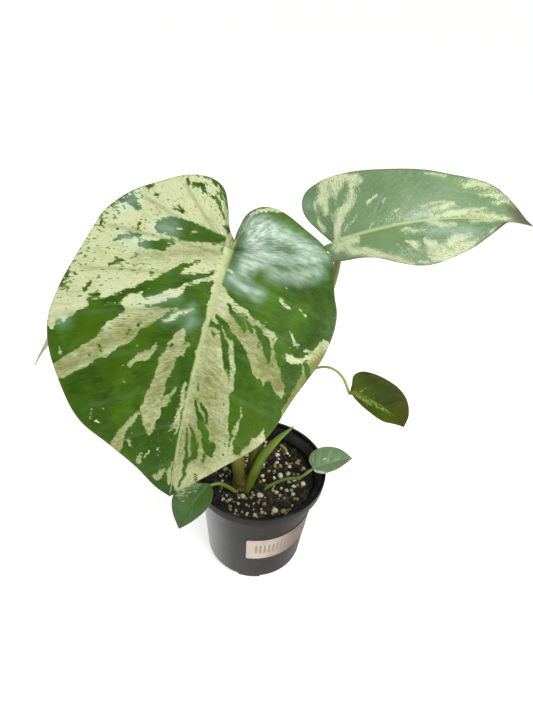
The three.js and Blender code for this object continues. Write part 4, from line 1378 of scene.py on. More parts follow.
RIGHT_PAINT = [
    *strokes(Paint.FLECKED, [(-1, 4, 1), (-2.5, 10, 2.5), (-3, 22, 3), (-2, 36, 2)]),
    *strokes(
        Paint.MOTTLED, [(-1, 2, 0.8), (-2, 8, 1.4), (-3.5, 12, 1)], [(-1.5, 14, 1), (-3.5, 18, 1.1)],
        [(-0.5, 20, 1), (-2.5, 25, 1.4)], [(-1, 30, 0.8), (-2, 37, 0.9)],
        [(0.5, 2, 0.5), (2, 6, 0.5), (5, 11, 0.4)],
    ),
    # Painted backlight
    *strokes(Paint.GLOW, [(-6, 20, 2), (-6, 36, 2)]),
    *strokes(Paint.DARK, [(12, 14, 4), (14, 34, 4)]),
    *strokes(Paint.SCORCHED, [(8, 46, 4), (2, 51, 5), (0, 56, 5)]),
    *strokes(Paint.DRY, [(19.5, 16, 0.6), (19.5, 28, 0.8), (18, 40, 0.8), (11, 51, 0.8), (2, 56, 2)]),
]

LEFT_PAINT = [
    *strokes(
        Paint.CREAM, [(10, 20, 0.5), (13, 25, 0.4)], [(6, 40, 0.5), (8, 47, 0.5)], [(16, 40, 0.6)],
        [(-10, 14, 0.5), (-13, 19, 0.6)], [(-8, 50, 0.5), (-9, 57, 0.4)],
    ),
]

LOWER_PAINT = [
    *strokes(Paint.FLECKED, [(-9, 6, 3), (-12, 18, 4), (-9, 26, 2)]),
    *strokes(
        Paint.MOTTLED, [(-9, 6, 1), (-12, 13, 1.4), (-13, 21, 1)], [(-15, 14, 1), (-15, 21, 1)],
        [(-5, 6, 0.6), (-7, 14, 0.8), (-7.5, 21, 0.5)],
    ),
    # Painted backlight
    *strokes(Paint.GLOW, [(8, 8, 4), (5, 20, 4)]),
]

SIDE_PAINT = [
    *strokes(Paint.CREAM, [(-2, 1, 1.2), (-5, 3, 2), (-7, 7, 1.4)], [(3, 8, 0.3), (4, 13, 0.3)]),
    *strokes(Paint.DRY, [(0, 32, 0.8), (0, 34, 1.2)]),
]

LEAVES = [
    Leaf(
        name="large", slot="leaf_marbled", joint=(-23.5, -30, 305.6),
        heading=-100, pitch=52, roll=-17, turn=-9,
        span=150, droop=20, bend=12, lobe=15,
        fold=(6, 6), curl=(-20, -60), wave=(1.0, 52),
        left=[
            (0, 0), (-5, -6), (-9, -15), (-15, -24), (-24, -26.5), (-36, -23), (-49, -14), (-61, -4),
            (-70, 9), (-74, 22), (-79, 38), (-82, 52), (-83, 68), (-79, 84), (-69, 100), (-56, 115),
            (-38, 126), (-22, 137), (-9, 149), (0, 155),
        ],
        right=[
            (0, 0), (0.3, -8), (2, -17), (9, -24), (20, -26), (37, -23), (53, -20), (62, -15), (67, -5),
            (73, 6), (82, 17), (86, 30), (83, 46), (74, 66), (64, 87), (56, 105), (47, 118), (31, 130),
            (13, 144), (0, 155),
        ],
        rib_radius=1.9, under=9,
        stalk=[(-14.8, -10.8, 84), (-17.6, -9.2, 110), (-25, -3, 160), (-31, 1, 220), (-32, -6, 268)],
        stalk_radii=[4.6, 6.2, 4.2, 3.3, 2.8, 2.7, 3.0],
        finish=BladeFinish("marbled_blade", green="48700f", deep="274208", specular=0.12),
        stalk_finish=StalkFinish("sheathed_stalk", foot="665f20", body="6f7f26", top="9aab68"),
        rows=230, columns=84, veins=11, quilt=0.3, crumple=0.22,
        paint=LARGE_PAINT,
    ),
    Leaf(
        name="upper", slot="leaf_flecked", joint=(35, 8, 292.1),
        heading=0, pitch=-22, roll=45, turn=5,
        span=140, droop=40, bend=-20, lobe=10,
        fold=(10, 10), curl=(-50, -20), wave=(0.7, 44),
        left=[
            (0, 0), (0, -5), (-4, -10), (-10, -9), (-14, 2), (-16, 14), (-19, 24), (-24, 34), (-28.5, 46),
            (-29.5, 57), (-27, 69), (-21.6, 84), (-14, 97), (-5.5, 109), (-1, 116), (0, 124), (0, 137),
        ],
        right=[
            (0, 0), (9.2, -5), (20.4, -9.8), (30.3, -9.8), (37.9, -4), (40.8, 10), (39.7, 25), (35.8, 43),
            (31.8, 64), (27.7, 79), (22.5, 102), (15.8, 114), (9, 123), (3.5, 130), (0, 137),
        ],
        rib_radius=1.4, under=8,
        stalk=[
            (-7.8, -4.5, 86), (-6.5, -3, 98), (-4, -1, 115), (1, 2, 140), (9, 4, 170), (20, 6, 205),
            (34, 9, 240), (40, 12, 268),
        ],
        stalk_radii=[3.9, 4.0, 3.8, 3.0, 2.6, 2.3, 2.1, 2.1, 2.2, 2.4],
        finish=BladeFinish(
            "flecked_blade", cream="ccd5a8", green="6d8c58", deep="587648", slate="7f9c82", sheen_film="a9bdb0",
            painted_backlight="6a8a3c", rib="b9c68a", vein_share=0.05, margin="4c3c1c", streak=(0.6, 6.0),
            speckle=(0.5, 2.0), ragged=5.6, flecked=5.0, wrinkle=0.45,
        ),
        stalk_finish=StalkFinish(
            "olive_stalk", foot="565a1c", body="5d6122", top="6f6e30", streak="94915a",
        ),
        rows=200, columns=50, veins=10, bloom_and_sheen=0.25, cream_strength=0.85, quilt=0.04,
        paint=UPPER_PAINT,
    ),
    Leaf(
        name="right", slot="leaf_small", joint=(64.2, 10, 173),
        heading=-8, pitch=19, roll=32, turn=9,
        span=57, droop=30, bend=-24, lobe=10,
        fold=(12, 12), curl=(-30, -30), wave=(0, 40),
        left=[
            (0, 0), (-4.8, 5), (-8.5, 12), (-10.5, 19), (-11.5, 27), (-10.5, 35), (-7, 43), (-3.5, 50),
            (0, 57),
        ],
        right=[
            (0, 0), (6, 0), (13, 0), (18, 5), (20, 14), (20.5, 25), (20, 36), (16.5, 46), (9, 54), (0, 57),
        ],
        rib_radius=0.9, under=4,
        stalk=[
            (-8.5, 2.4, 80), (-4, 7, 100), (0, 11, 118), (8, 14, 142), (20, 16, 168), (33, 17, 185),
            (46, 16, 190), (57, 13.5, 184),
        ],
        stalk_radii=[1.6, 1.8, 1.6, 1.4, 1.2, 1.1, 1.0, 1.0, 1.0, 1.1],
        finish=BladeFinish(
            "olive_blade", cream="a0a868", aged_and_shaded_cream="6f7a38", fringe="5f7a2c", green="455602",
            deep="2a3800", slate="38480e", rib="66782c", rib_line="4c6218", margin="4c3a14",
            vein_share=0.03, wrinkle=0.4, specular=0.04, coat=0.0,
        ),
        stalk_finish=StalkFinish("thin_stalk_right", foot="7b6f3e", body="6d8a38", top="86a04e"),
        rows=110, columns=36, veins=8,
        paint=RIGHT_PAINT,
    ),
    Leaf(
        name="left", slot="leaf_flecked", joint=(-72, 12, 262),
        heading=-167, pitch=14, roll=0, turn=0,
        span=122, droop=46, bend=0, lobe=15,
        fold=(30, 30), curl=(-20, -20), wave=(0, 40),
        left=[
            (0, 0), (-9, -6), (-20, -8), (-29, -1), (-32, 14), (-30, 34), (-24, 56), (-16, 76), (-7, 94),
            (-2.4, 106), (0, 122),
        ],
        right=[
            (0, 0), (9, -6), (20, -8), (29, -1), (32, 14), (31, 34), (26, 56), (18, 76), (9, 94), (2.5, 106),
            (0, 122),
        ],
        rib_radius=1.3, under=7,
        stalk=[(-15.5, -1.8, 86), (-19, 3, 110), (-33, 10, 170), (-52, 17, 222), (-64, 18, 246)],
        stalk_radii=[2.4, 2.7, 2.3, 2.0, 1.8, 1.8, 2.0],
        finish=BladeFinish(
            "grey_green_blade", green="7c9a72", deep="5f7f55", slate="88a288", rib="a9bb80",
            margin="93a347", vein_share=0.06, wrinkle=0.4,
        ),
        stalk_finish=StalkFinish("thin_stalk_left", foot="7b6f3e", body="7d9a48", top="a3bc78"),
        rows=150, columns=44, veins=9, bloom_and_sheen=0.4,
        paint=LEFT_PAINT,
    ),
    Leaf(
        name="lower", slot="leaf_small", joint=(-37.5, -27.5, 101),
        heading=-122, pitch=2, roll=0, turn=0,
        span=42, droop=62, bend=-8, lobe=0,
        fold=(8, 8), curl=(-80, -80), wave=(0, 40),
        left=[(0, 0), (-8, 5), (-16, 10), (-19.5, 18), (-17.5, 27), (-12, 34), (-5, 39), (0, 42)],
        right=[(0, 0), (7, 4), (11.5, 11), (12, 19), (9.5, 27), (5, 35), (0, 42)],
        rib_radius=0.8, under=1.5,
        stalk=[(-14.6, -18.3, 82), (-19, -20, 86.5), (-24.3, -21, 92), (-31, -24, 98)],
        stalk_radii=[1.6, 1.6, 1.5, 1.4, 1.2, 1.1],
        finish=BladeFinish(
            "fresh_blade", cream="a9b887", green="506f34", deep="3a571f", rib="64843e", rib_line="567634",
            vein_share=0.04, wrinkle=0.4, specular=0.14,
        ),
        stalk_finish=StalkFinish("fresh_stem_lower", foot="68792c", body="6c852c", top="7c9648"),
        rows=90, columns=36, veins=7, bloom_and_sheen=0.1,
        paint=LOWER_PAINT,
    ),
    Leaf(
        name="side", slot="leaf_small", joint=(42.9, -7.3, 106),
        heading=10, pitch=-22, roll=24, turn=0,
        span=34, droop=30, bend=0, lobe=0,
        fold=(10, 10), curl=(-60, -60), wave=(0, 40),
        left=[(0, 0), (-4, 1), (-7, 6), (-7.5, 12), (-6.5, 19), (-3.5, 27), (0, 34)],
        right=[(0, 0), (7, -1), (12, 3), (14, 10), (13, 18), (8.5, 27), (0, 34)],
        rib_radius=0.8, under=1.5,
        stalk=[
            (5.5, -14, 72), (6.2, -13.8, 84), (15.3, -10.5, 89.5), (24, -9.5, 93.5), (33, -10, 96.5),
            (39, -9, 102),
        ],
        stalk_radii=[1.6, 1.6, 1.5, 1.4, 1.3, 1.2, 1.1, 1.1],
        finish=BladeFinish(
            "grey_small_blade", cream="b9cdb0", green="64844c", deep="4c6e3c", slate="7a9272", rib="86a068",
            rib_line="6f8a52", margin="8a7440", vein_share=0.0, wrinkle=0.4,
        ),
        stalk_finish=StalkFinish("fresh_stem_side", foot="5f6e26", body="62782a", top="7c9648"),
        rows=80, columns=34, veins=6, bloom_and_sheen=0.45,
        paint=SIDE_PAINT,
    ),
]


@dataclass
class RolledLeaf:
    """The young leaf, still rolled into a spear with one edge lying over the other."""

    route: list[Point] = field(
        default_factory=lambda: [
            (-8.6, -17.2, 78), (-8.4, -16.6, 84.5), (-4.9, -13.6, 96), (1.1, -8.1, 112.6), (6.6, -5.3, 121.5),
            (14.6, 0.2, 129.5), (24.7, 5.1, 137.7),
        ]
    )
    radii: tuple[float, ...] = (2.4, 3.5, 4.1, 4.2, 3.5, 2.2, 0.5)
    overlap: float = 0.13
    rings: int = 90
    sides: int = 64

    def build(self) -> None:
        """Makes the spear: its radius grows by the overlap over one turn, and steps back at the seam."""
        path = spline(self.route, self.rings)
        share = np.linspace(0, 1, self.rings)
        radii = np.interp(share, np.linspace(0, 1, len(self.radii)), self.radii)
        smooth = np.convolve(np.pad(radii, 4, mode="edge"), np.full(9, 1 / 9), mode="valid")
        angle = np.linspace(0, 2 * math.pi, self.sides + 1)
        shape = 1 - self.overlap + self.overlap * angle / (2 * math.pi)
        shape[-1] = shape[0]
        surface = tube(path, 0.98 * smooth, (0.75, -0.45, -0.5), shape)
        surface.marks["grown"] = np.repeat(np.concatenate([[0.0], share, [1.0]]), len(shape))
        finish = StalkFinish(
            "rolled_leaf_skin", foot="67691f", body="5c7714", top="6c8a28", streak="9bb256", streak_share=0.35
        )
        surface.piece("rolled_leaf", finish.make(), "spear_skin", ["spear"])


@dataclass
class Crown:
    """The short thick stem at soil level, ringed with old leaf scars.

    The outline runs up it in shares of its radius and of its height.
    """

    x: float = -12
    y: float = -8
    bottom: float = 66
    top: float = 92
    radius: float = 10.6
    squeeze: float = 0.9
    outline: tuple[Pair, ...] = (
        (0, 0), (0.6, 0.02), (0.92, 0.25), (1, 0.36), (0.95, 0.42), (0.99, 0.6), (1.03, 0.67), (0.95, 0.72),
        (0.72, 0.9), (0.4, 0.98), (0, 1),
    )

    def build(self) -> None:
        """Makes the stem: the outline turned about its axis, with lumps of under half a millimetre."""
        profile = rounded(self.outline, 0.06, 7) * (self.radius, self.top - self.bottom)
        rings = circles(profile + (0, self.bottom), 96)
        lumps = 0.35 * ripples(rings, 5.0, 3) * ease(0.0, 3.0, np.hypot(rings[..., 0], rings[..., 1]))
        swell = 1 + lumps / self.radius
        rings[..., 0] = rings[..., 0] * self.squeeze * swell + self.x
        rings[..., 1] = rings[..., 1] * swell + self.y
        loft(rings).piece("old_stem", CrownFinish().make(), "crown_skin", ["crown"])


# Pot


@dataclass
class Pot:
    """A round nursery pot with a collar under its lip, a ledge inside it, feet and drain holes.

    Sizes are mm and angles radians.
    """

    height: float = 97.3
    rim_radius: float = 55
    skirt_height: float = 9.3
    body_top_radius: float = 48.2
    body_bottom_radius: float = 41.5
    wall: float = 1.5
    floor: float = 1.6
    edge_chamfer: float = 1.6
    lip_width: float = 1.1
    ledge_drop: float = 3.9
    ledge_width: float = 2.3
    skirt_thickness: float = 1.4
    skirt_taper: float = 0.8
    skirt_gap: float = 0.4
    lip_height: float = 0.7
    lip_slope: float = 0.4
    ledge_inset: float = 1.9
    drain_depth: float = 7
    foot_height: float = 3
    foot_inner_radius: float = 36
    foot_half_angle: float = 0.24
    foot_count: int = 4
    foot_turn: float = -1.62
    pad_radius: float = 8
    drain_count: int = 8
    drain_radius: float = 4
    drain_circle: float = 28
    sides: int = 192

    def body_radius(self, height: Union[float, Array]) -> Union[float, Array]:
        """The outside radius of the body at a height."""
        low = self.foot_height + self.edge_chamfer
        high = self.height - self.skirt_height - self.skirt_gap
        share = (height - low) / (high - low)
        return self.body_bottom_radius + share * (self.body_top_radius - self.body_bottom_radius)

    def shell(self) -> Surface:
        """Turns the wall's profile about Z, from the floor over the lip and down the inside."""
        skirt_low = self.height - self.skirt_height
        skirt_radius = self.rim_radius - self.skirt_taper
        ledge = self.height - self.ledge_drop
        ledge_radius = self.rim_radius - self.ledge_inset
        lip_radius = self.rim_radius - self.lip_slope
        floor_top = self.foot_height + self.floor
        profile = [
            (0, self.foot_height),
            (self.body_bottom_radius - self.edge_chamfer, self.foot_height),
            (self.body_bottom_radius, self.foot_height + self.edge_chamfer),
            (self.body_top_radius, skirt_low - self.skirt_gap),
            (self.body_top_radius + 2, ledge - self.wall),
            (skirt_radius - self.skirt_thickness - 0.1, ledge - self.wall),
            (skirt_radius - self.skirt_thickness, skirt_low),
            (skirt_radius, skirt_low),
            (self.rim_radius, self.height - self.lip_height),
            (lip_radius, self.height),
            (lip_radius - self.lip_width, self.height),
            (ledge_radius, ledge),
            (ledge_radius - self.ledge_width, ledge),
            (self.body_top_radius - self.wall, skirt_low - 0.8),
            (self.body_bottom_radius - self.wall + 0.1, floor_top),
            (0, floor_top),
        ]
        return loft(circles(rounded(profile, 0.5), self.sides))

    def feet(self) -> list[Surface]:
        """Carries a rounded box section round short arcs, and turns a round pad in the middle."""
        top = self.foot_height + 0.8
        outer = self.body_bottom_radius - 1.8
        inner = self.foot_inner_radius
        middle = 0.5 * (inner + outer)
        loop = [(middle, top), (outer, top), (outer, 0), (inner, 0), (inner, top), (middle, top)]
        section = rounded(loop, 0.4, 4)
        shapes = []
        for foot in range(self.foot_count):
            centre = self.foot_turn + 2 * math.pi * foot / self.foot_count
            angle = np.linspace(centre - self.foot_half_angle, centre + self.foot_half_angle, 15)[:, None]
            radius, height = section[:, 0], np.broadcast_to(section[:, 1], (15, len(section)))
            rings = np.stack([radius * np.cos(angle), radius * np.sin(angle), height], axis=-1)
            shapes.append(loft(rings))
        pad = rounded([(0, 0), (self.pad_radius, 0), (self.pad_radius, top), (0, top)], 0.4, 4)
        shapes.append(loft(circles(pad, 48)))
        return shapes

    def drains(self) -> list[Surface]:
        """Short rods that cut the drain holes through the floor."""
        rods = []
        low, high = -1, self.drain_depth
        profile = np.array([(0, low), (self.drain_radius, low), (self.drain_radius, high), (0, high)])
        for drain in range(self.drain_count):
            angle = self.foot_turn + 2 * math.pi * (drain + 0.5) / self.drain_count
            centre = (self.drain_circle * math.cos(angle), self.drain_circle * math.sin(angle), 0)
            rods.append(loft(circles(profile, 40) + centre))
        return rods

    def build(self) -> None:
        """Joins the feet to the shell, cuts the drain holes and dresses the pot."""
        body = self.shell().piece("pot_shell", PlasticFinish().make(), "pot_plastic", ["pot"])
        feet = self.feet()
        carve(body, feet[0].joined(*feet[1:]), "UNION")
        drains = self.drains()
        carve(body, drains[0].joined(*drains[1:]), "DIFFERENCE")
        LOG.info("pot_shell: %d faces with its feet and drain holes", len(body.data.polygons))


def carve(body: bpy.types.Object, tool: Surface, operation: str) -> None:
    """Joins a shape to a piece or cuts it out of it.

    Args:
        body: The piece that changes.
        tool: The other shape.
        operation: UNION or DIFFERENCE.
    """
    cutter = added("tool", tool.mesh("tool"))
    modifier = body.modifiers.new("carve", "BOOLEAN")
    modifier.operation = operation
    modifier.solver = "EXACT"
    modifier.object = cutter
    depsgraph = bpy.context.evaluated_depsgraph_get()
    carved = bpy.data.meshes.new_from_object(body.evaluated_get(depsgraph))
    body.modifiers.remove(modifier)
    bpy.data.objects.remove(cutter)
    carved.shade_smooth()
    carved.set_sharp_from_angle(angle=math.radians(SHARP_DEGREES))
    body.data = carved


@dataclass
class Label:
    """A paper label that follows the pot's side and climbs a little towards its right end.

    Its angles are degrees round Z, from +X towards +Y; curl lifts the upper corners off the pot.
    """

    pot: Pot
    height: float = 26.5
    start_angle: float = -97
    end_angle: float = -15
    low_edge: float = 32.5
    rise: float = 4.5
    thickness: float = 0.3
    lift: float = 0.12
    corner: float = 1.0
    curl: float = 0.25
    curl_length: float = 4.0
    steps: int = 90

    def build(self) -> None:
        """Carries a thin section round the pot; its ends are cut back as quarter circles."""
        share = np.linspace(0, 1, self.steps + 1)[:, None]
        angle = np.radians(self.start_angle + share * (self.end_angle - self.start_angle))
        length = np.radians(self.end_angle - self.start_angle) * self.pot.body_radius(self.low_edge)
        to_end = np.minimum(share, 1 - share) * length
        inside = np.clip(self.corner - to_end, 0, None)
        cut = self.corner - np.sqrt(self.corner**2 - inside**2)
        up = np.array([0, 0.02, 0.1, 0.3, 0.5, 0.7, 0.9, 0.98, 1])
        level = np.concatenate([up, up[::-1], up[:1]])
        out = np.concatenate([np.full(9, 1.0), np.zeros(9), [1.0]])
        low = self.low_edge + self.rise * share
        height = low + cut + level * (self.height - 2 * cut)
        curl = self.curl * ease(self.curl_length, 0.0, to_end) * ease(0.75, 1.0, level)
        radius = self.pot.body_radius(height) + self.lift + self.thickness * out + curl
        rings = np.stack([radius * np.cos(angle), radius * np.sin(angle), height], axis=-1)
        surface = loft(rings)
        distance = np.concatenate([[0.0], (share * length).ravel(), [length]])
        surface.pattern[:, 0] = np.repeat(distance, len(level))
        surface.marks["level"] = np.tile(level, len(distance))
        surface.piece("paper_label", PaperFinish().make(), "label_paper", ["pot_label"])


# Potting mix


def draws(seed: int) -> Iterator[float]:
    """Yields numbers from 0 to 1, the same on each run: state x 16807, modulo 2147483647."""
    state = seed
    while True:
        state = state * 16807 % 2147483647
        yield state / 2147483647


def ball(rings: int, sides: int) -> Surface:
    """A unit ball: (sin t cos a, sin t sin a, cos t) on a grid of t and a."""
    turn = np.linspace(0, math.pi, rings + 1)[1:-1]
    return loft(circles(np.column_stack([np.sin(turn), np.cos(turn)]), sides))


@dataclass
class Bits:
    """Loose bits of one kind: centres, half sizes along three axes and seeded turns."""

    name: str
    finish: GrainFinish
    rings: int
    sides: int
    lumps: float
    seed: int

    def build(self, centres: Array, sizes: Array) -> None:
        """Makes all bits as one piece.

        Each is the unit ball times 1 + lumps x ripples, stretched to its size and turned.

        Args:
            centres: One centre a row.
            sizes: Half sizes, one row of three for each bit.
        """
        chance = np.random.default_rng(self.seed)
        form = ball(self.rings, self.sides)
        shift = chance.uniform(-9, 9, (len(centres), 1, 3))
        swell = 1 + self.lumps * ripples(form.points + shift, 1.6, self.seed)
        local = form.points * swell[..., None] * sizes[:, None]
        turn, tip = chance.uniform(0, 2 * math.pi, (2, len(centres)))
        tip = 0.35 * np.sin(tip)
        cos_turn, sin_turn, cos_tip, sin_tip = np.cos(turn), np.sin(turn), np.cos(tip), np.sin(tip)
        zero = np.zeros(len(centres))
        spin = np.array(
            [
                [cos_turn, -sin_turn * cos_tip, sin_turn * sin_tip],
                [sin_turn, cos_turn * cos_tip, -cos_turn * sin_tip],
                [zero, sin_tip, cos_tip],
            ]
        )
        points = np.einsum("ijn,nvj->nvi", spin, local) + centres[:, None]
        # Painted light and shade: bits towards the back right are lighter, those at the front left darker.
        lit = ease(-30.0, 20.0, centres[:, 1] + 0.5 * centres[:, 0])
        shade = 0.65 * chance.uniform(0, 1, len(centres)) + 0.6 * lit - 0.15
        count = len(form.points)
        offsets = count * np.arange(len(centres))[:, None, None]
        surface = Surface(
            points.reshape(-1, 3),
            (form.triangles + offsets).reshape(-1, 3),
            np.tile(form.pattern, (len(centres), 1)),
            {"shade": np.repeat(shade, count)},
        )
        surface.piece(self.name, self.finish.make(), "potting_mix")


@dataclass
class Soil:
    """The mix in the pot, the pale grains that the part's source places, and looser bits on top."""

    pot: Pot
    crown: Crown
    level: float = 84.4
    lump: float = 0.7
    lump_pitch: Point = (20, 23, 33)
    rim_dip: float = 1.4
    gap: float = 0.3
    grain_count: int = 52
    grain_smallest: float = 1.3
    grain_largest: float = 2.7
    grain_keep_out: float = 2.4
    seed: int = 4127

    def height(self, x: Array, y: Array) -> Array:
        """Soft lumps, products and sums of sines, and a dip with the cube of the radius."""
        across, back, slant = (2 * math.pi / pitch for pitch in self.lump_pitch)
        lumps = np.sin(across * x + 0.8) * np.cos(back * y - 0.4) + 0.6 * np.sin(slant * (x - y))
        dip = (np.hypot(x, y) / self.pot.body_top_radius) ** 3
        return self.level + self.lump * lumps - self.rim_dip * dip

    def bed(self) -> Surface:
        """Makes the filled volume: a floor, a side and a crumbly top, all turned about Z."""
        floor = self.pot.foot_height + self.pot.floor + self.gap
        low_radius = self.pot.body_radius(floor) - self.pot.wall - self.gap - 0.3
        top_radius = self.pot.body_radius(self.level) - self.pot.wall - self.gap - 0.2
        side = [(0, floor), (low_radius, floor)]
        top = [(radius, self.level) for radius in np.linspace(top_radius, 0, 90)]
        rings = circles(np.array(side + top), 240)
        x, y = rings[2:, :, 0], rings[2:, :, 1]
        flat = np.stack([x, y], axis=-1)
        crumbs = 0.45 * ripples(flat, 4.5, 21, 12) + 0.25 * ripples(flat, 2.4, 22, 12)
        rings[2:, :, 2] = self.height(x, y) + crumbs - 0.3
        return loft(rings)

    def source_grains(self, stems: Array) -> Array:
        """Draws the grains as the part's source does, kept off the stems and each other.

        Args:
            stems: Points along the stems with the stem's radius, four numbers a row.

        Returns:
            One grain a row: x, y, z, radius.
        """
        draw = draws(self.seed)
        placed: list[tuple[float, float, float, float]] = []
        while len(placed) < self.grain_count:
            reach = (self.pot.body_top_radius - self.pot.wall - 5) * math.sqrt(next(draw))
            angle = 2 * math.pi * next(draw)
            radius = self.grain_smallest + (self.grain_largest - self.grain_smallest) * next(draw) ** 1.5
            next(draw)
            x, y = reach * math.cos(angle), reach * math.sin(angle)
            z = float(self.height(x, y)) + 0.2 * radius
            gaps = np.linalg.norm(stems[:, :3] - (x, y, z), axis=1) - stems[:, 3]
            apart = all(math.hypot(x - a, y - b) > self.grain_keep_out + radius for a, b, _, _ in placed)
            if gaps.min() > radius + 0.8 and apart:
                placed.append((x, y, z, radius))
        return np.array(placed)

    def scattered(
        self, count: int, seed: int, stems: Array, keep_off: float, reach: float = 45.0
    ) -> Array:
        """Draws places on the mix that keep clear of the stems.

        Args:
            count: How many places to draw.
            seed: Choice of the draw.
            stems: Points along the stems with the stem's radius.
            keep_off: Least distance from a stem's skin.
            reach: Largest distance from the pot's axis.

        Returns:
            Points on the surface, at most count.
        """
        chance = np.random.default_rng(seed)
        radius = reach * np.sqrt(chance.uniform(0, 1, count))
        angle = chance.uniform(0, 2 * math.pi, count)
        x, y = radius * np.cos(angle), radius * np.sin(angle)
        spots = np.column_stack([x, y, self.height(x, y)])
        gaps = np.linalg.norm(spots[:, None] - stems[None, :, :3], axis=2) - stems[None, :, 3]
        return spots[gaps.min(axis=1) > keep_off]

    def build(self, routes: list[tuple[list[Point], float]]) -> None:
        """Makes the bed and everything that lies on it.

        Args:
            routes: Each stem's curve points and its radius low down.
        """
        stems = [np.column_stack([spline(route, 61), np.full(61, radius)]) for route, radius in routes]
        for height in np.arange(self.level - 4, self.level + 6, 2):
            stems.append(np.array([[self.crown.x, self.crown.y, height, self.crown.radius]]))
        points = np.vstack(stems)
        self.bed().piece("mix_bed", MixFinish().make(), "potting_mix", ["soil"])
        grains = self.source_grains(points)
        pale = GrainFinish("pale_grain", low="86825a", high="e8e2ca", pit="7a7450")
        sizes = grains[:, 3:] * (1.1, 0.95, 0.85)
        kind = Bits("pale_grains", pale, rings=12, sides=18, lumps=0.13, seed=31)
        kind.build(grains[:, :3], sizes)
        chance = np.random.default_rng(77)
        small = self.scattered(130, 41, points, 1.0)
        radii = chance.uniform(0.6, 1.5, (len(small), 1))
        kind = Bits("small_pale_grains", pale, rings=6, sides=9, lumps=0.16, seed=32)
        kind.build(small, radii * (1.2, 0.95, 0.8))
        beads = self.scattered(70, 42, points, 1.2)
        bead_tints = {"low": "5f6428", "high": "a5a45c", "pit": "42441c"}
        bead = GrainFinish("feed_bead", **bead_tints, pit_share=0.2, roughness=0.4)
        kind = Bits("feed_beads", bead, rings=10, sides=14, lumps=0.02, seed=33)
        kind.build(beads + (0, 0, 0.5), chance.uniform(0.8, 1.7, (len(beads), 1)) * np.ones(3))
        chips = self.scattered(330, 43, points, 0.8)
        lengths = chance.uniform(1.4, 4.2, (len(chips), 1))
        bark = GrainFinish("bark_chip", low="1c1610", high="4d3d2b", pit="120e0a", pit_share=0.7, depth=0.6)
        chip_sizes = lengths * chance.uniform((0.9, 0.3, 0.18), (1.1, 0.6, 0.34), (len(chips), 3))
        kind = Bits("bark_chips", bark, rings=5, sides=8, lumps=0.22, seed=34)
        kind.build(chips + (0, 0, 0.3), chip_sizes)
        crumbs = self.scattered(1500, 44, points, 0.3, 45.6)
        crumb = GrainFinish("mix_crumb", low="100e0a", high="38301f", pit="0a0907", pit_share=0.6, depth=0.5)
        crumb_sizes = chance.uniform(0.35, 1.15, (len(crumbs), 1))
        crumb_sizes = crumb_sizes * chance.uniform(0.7, 1.2, (len(crumbs), 3))
        kind = Bits("mix_crumbs", crumb, rings=4, sides=6, lumps=0.2, seed=35)
        kind.build(crumbs + (0, 0, 0.15), crumb_sizes)


# Studio


@dataclass(frozen=True)
class Softbox:
    """A square area light that looks at the plant from a direction."""

    name: str
    azimuth: float
    elevation: float
    distance: float
    size: float
    watts: float
    colour: Point = (1.0, 1.0, 1.0)
    target: Point = (0.0, 0.0, 200.0)

    def build(self) -> None:
        """Adds the light, its axis towards the target."""
        back = bearing(self.azimuth, self.elevation)
        right = unit(np.cross([0.0, 0.0, 1.0], back))
        up = np.cross(back, right)
        data = bpy.data.lights.new(self.name, "AREA")
        data.shape = "SQUARE"
        data.size = self.size * METRES_PER_MM
        data.energy = self.watts
        data.color = self.colour
        place = (np.array(self.target) + back * self.distance) * METRES_PER_MM
        added(self.name, data).matrix_world = pose(right, up, back, place)


def pose(right: Array, up: Array, back: Array, place: Array) -> Matrix:
    """The matrix of an object from its axes and its place in metres."""
    rows = np.eye(4)
    rows[:3] = np.column_stack([right, up, back, place])
    return Matrix(rows.tolist())


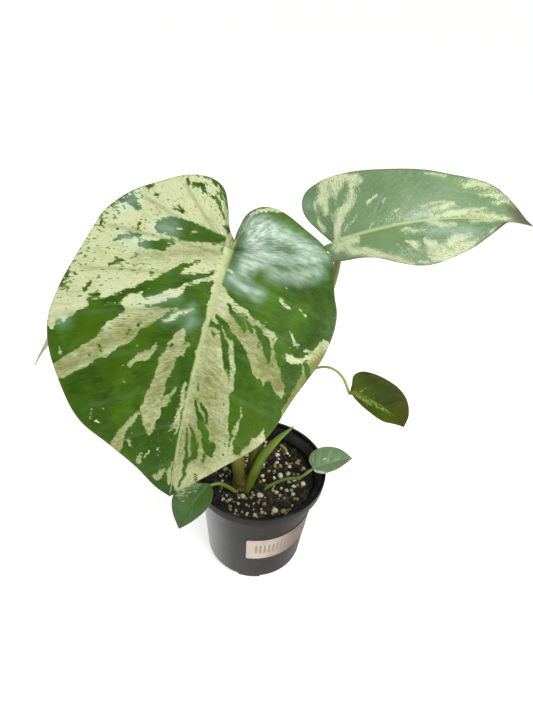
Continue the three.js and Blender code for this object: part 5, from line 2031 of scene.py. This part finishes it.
@dataclass
class Studio:
    """A pale floor and surround, soft lights and the camera.

    Lengths are mm and angles degrees; focal_pixels and frame_height are pixels of the view.
    """

    eye: Point = (0.0, -307.2, 426.2)
    pitch: float = 35.40
    yaw: float = -0.17
    roll: float = -4.29
    focal_pixels: float = 535.0
    frame_height: float = 711.0
    sensor: float = 36.0
    floor_reach: float = 60000.0
    floor_drop: float = 0.05
    floor_low: str = "f4f4f3"
    floor_high: str = "f8f8f7"
    floor_glow: float = 0.5
    surround: float = 0.32
    sky_elevation: float = 78.0
    sky_azimuth: float = -70.0
    sky_strength: float = 0.75
    sky_width: float = 70.0
    lights: tuple[Softbox, ...] = (
        Softbox("window_softbox", azimuth=-52, elevation=45, distance=1200, size=520, watts=6.0),
        Softbox("side_softbox", azimuth=-24, elevation=22, distance=1200, size=480, watts=4.0),
        Softbox("left_softbox", azimuth=-160, elevation=30, distance=1400, size=800, watts=3.0),
    )

    def camera(self) -> None:
        """Adds the camera: pitched down, turned and rolled as the view asks."""
        pitch, yaw, roll = np.radians([self.pitch, self.yaw, self.roll])
        level = math.cos(pitch)
        forward = np.array([math.sin(yaw) * level, math.cos(yaw) * level, -math.sin(pitch)])
        level = np.array([math.cos(yaw), -math.sin(yaw), 0.0])
        down = np.cross(forward, level)
        right = math.cos(roll) * level + math.sin(roll) * down
        below = math.cos(roll) * down - math.sin(roll) * level
        data = bpy.data.cameras.new("viewpoint")
        data.sensor_width = self.sensor
        data.sensor_fit = "AUTO"
        data.lens = self.sensor * self.focal_pixels / self.frame_height
        data.clip_start = 0.01
        data.clip_end = 200.0
        camera = added("viewpoint", data)
        camera.matrix_world = pose(right, -below, -forward, np.array(self.eye) * METRES_PER_MM)
        bpy.context.scene.camera = camera

    def sky(self) -> None:
        """Adds a very wide, soft light from above."""
        data = bpy.data.lights.new("sky_light", "SUN")
        data.energy = self.sky_strength
        data.angle = math.radians(self.sky_width)
        back = bearing(self.sky_azimuth, self.sky_elevation)
        right = unit(np.cross([0.0, 1.0, 0.0], back))
        added("sky_light", data).matrix_world = pose(right, np.cross(back, right), back, back)

    def floor(self) -> None:
        """Adds the floor: one large square, a hair below the pot's feet."""
        reach = self.floor_reach
        corners = np.array([(-reach, -reach), (reach, -reach), (reach, reach), (-reach, reach)])
        points = np.column_stack([corners, np.full(4, -self.floor_drop)])
        triangles = np.array([(0, 1, 2), (0, 2, 3)])
        mesh = Surface(points, triangles, corners).mesh("floor")
        obj = added("floor", mesh)
        s = Shader("floor_paint")
        soft = s.noise(s.place(), 3.0, 2.0)
        paint = s.mix(soft, self.floor_low, self.floor_high)
        glow = {"Emission_Color": (1.0, 1.0, 1.0, 1.0), "Emission_Strength": self.floor_glow}
        mesh.materials.append(s.finish(paint, 0.9, **glow))

    def build(self) -> None:
        """Adds the surround, the floor, the lights and the camera."""
        scene = bpy.context.scene
        scene.view_settings.view_transform = "Standard"
        world = bpy.data.worlds.new("pale_surround")
        world.use_nodes = True
        background = world.node_tree.nodes["Background"]
        background.inputs["Color"].default_value = (1.0, 1.0, 1.0, 1.0)
        background.inputs["Strength"].default_value = self.surround
        scene.world = world
        self.floor()
        self.sky()
        for light in self.lights:
            light.build()
        self.camera()


def main() -> None:
    """Builds the studio and the plant, piece by piece."""
    logging.basicConfig(level=logging.INFO, format="%(name)s %(message)s")
    Studio().build()
    pot = Pot()
    pot.build()
    Label(pot).build()
    crown = Crown()
    crown.build()
    spear = RolledLeaf()
    spear.build()
    routes = []
    for leaf in LEAVES:
        leaf.build()
        routes.append((leaf.stalk_route(), leaf.stalk_radii[1]))
    routes.append((spear.route, spear.radii[1]))
    Soil(pot, crown).build(routes)


if __name__ == "__main__":
    main()
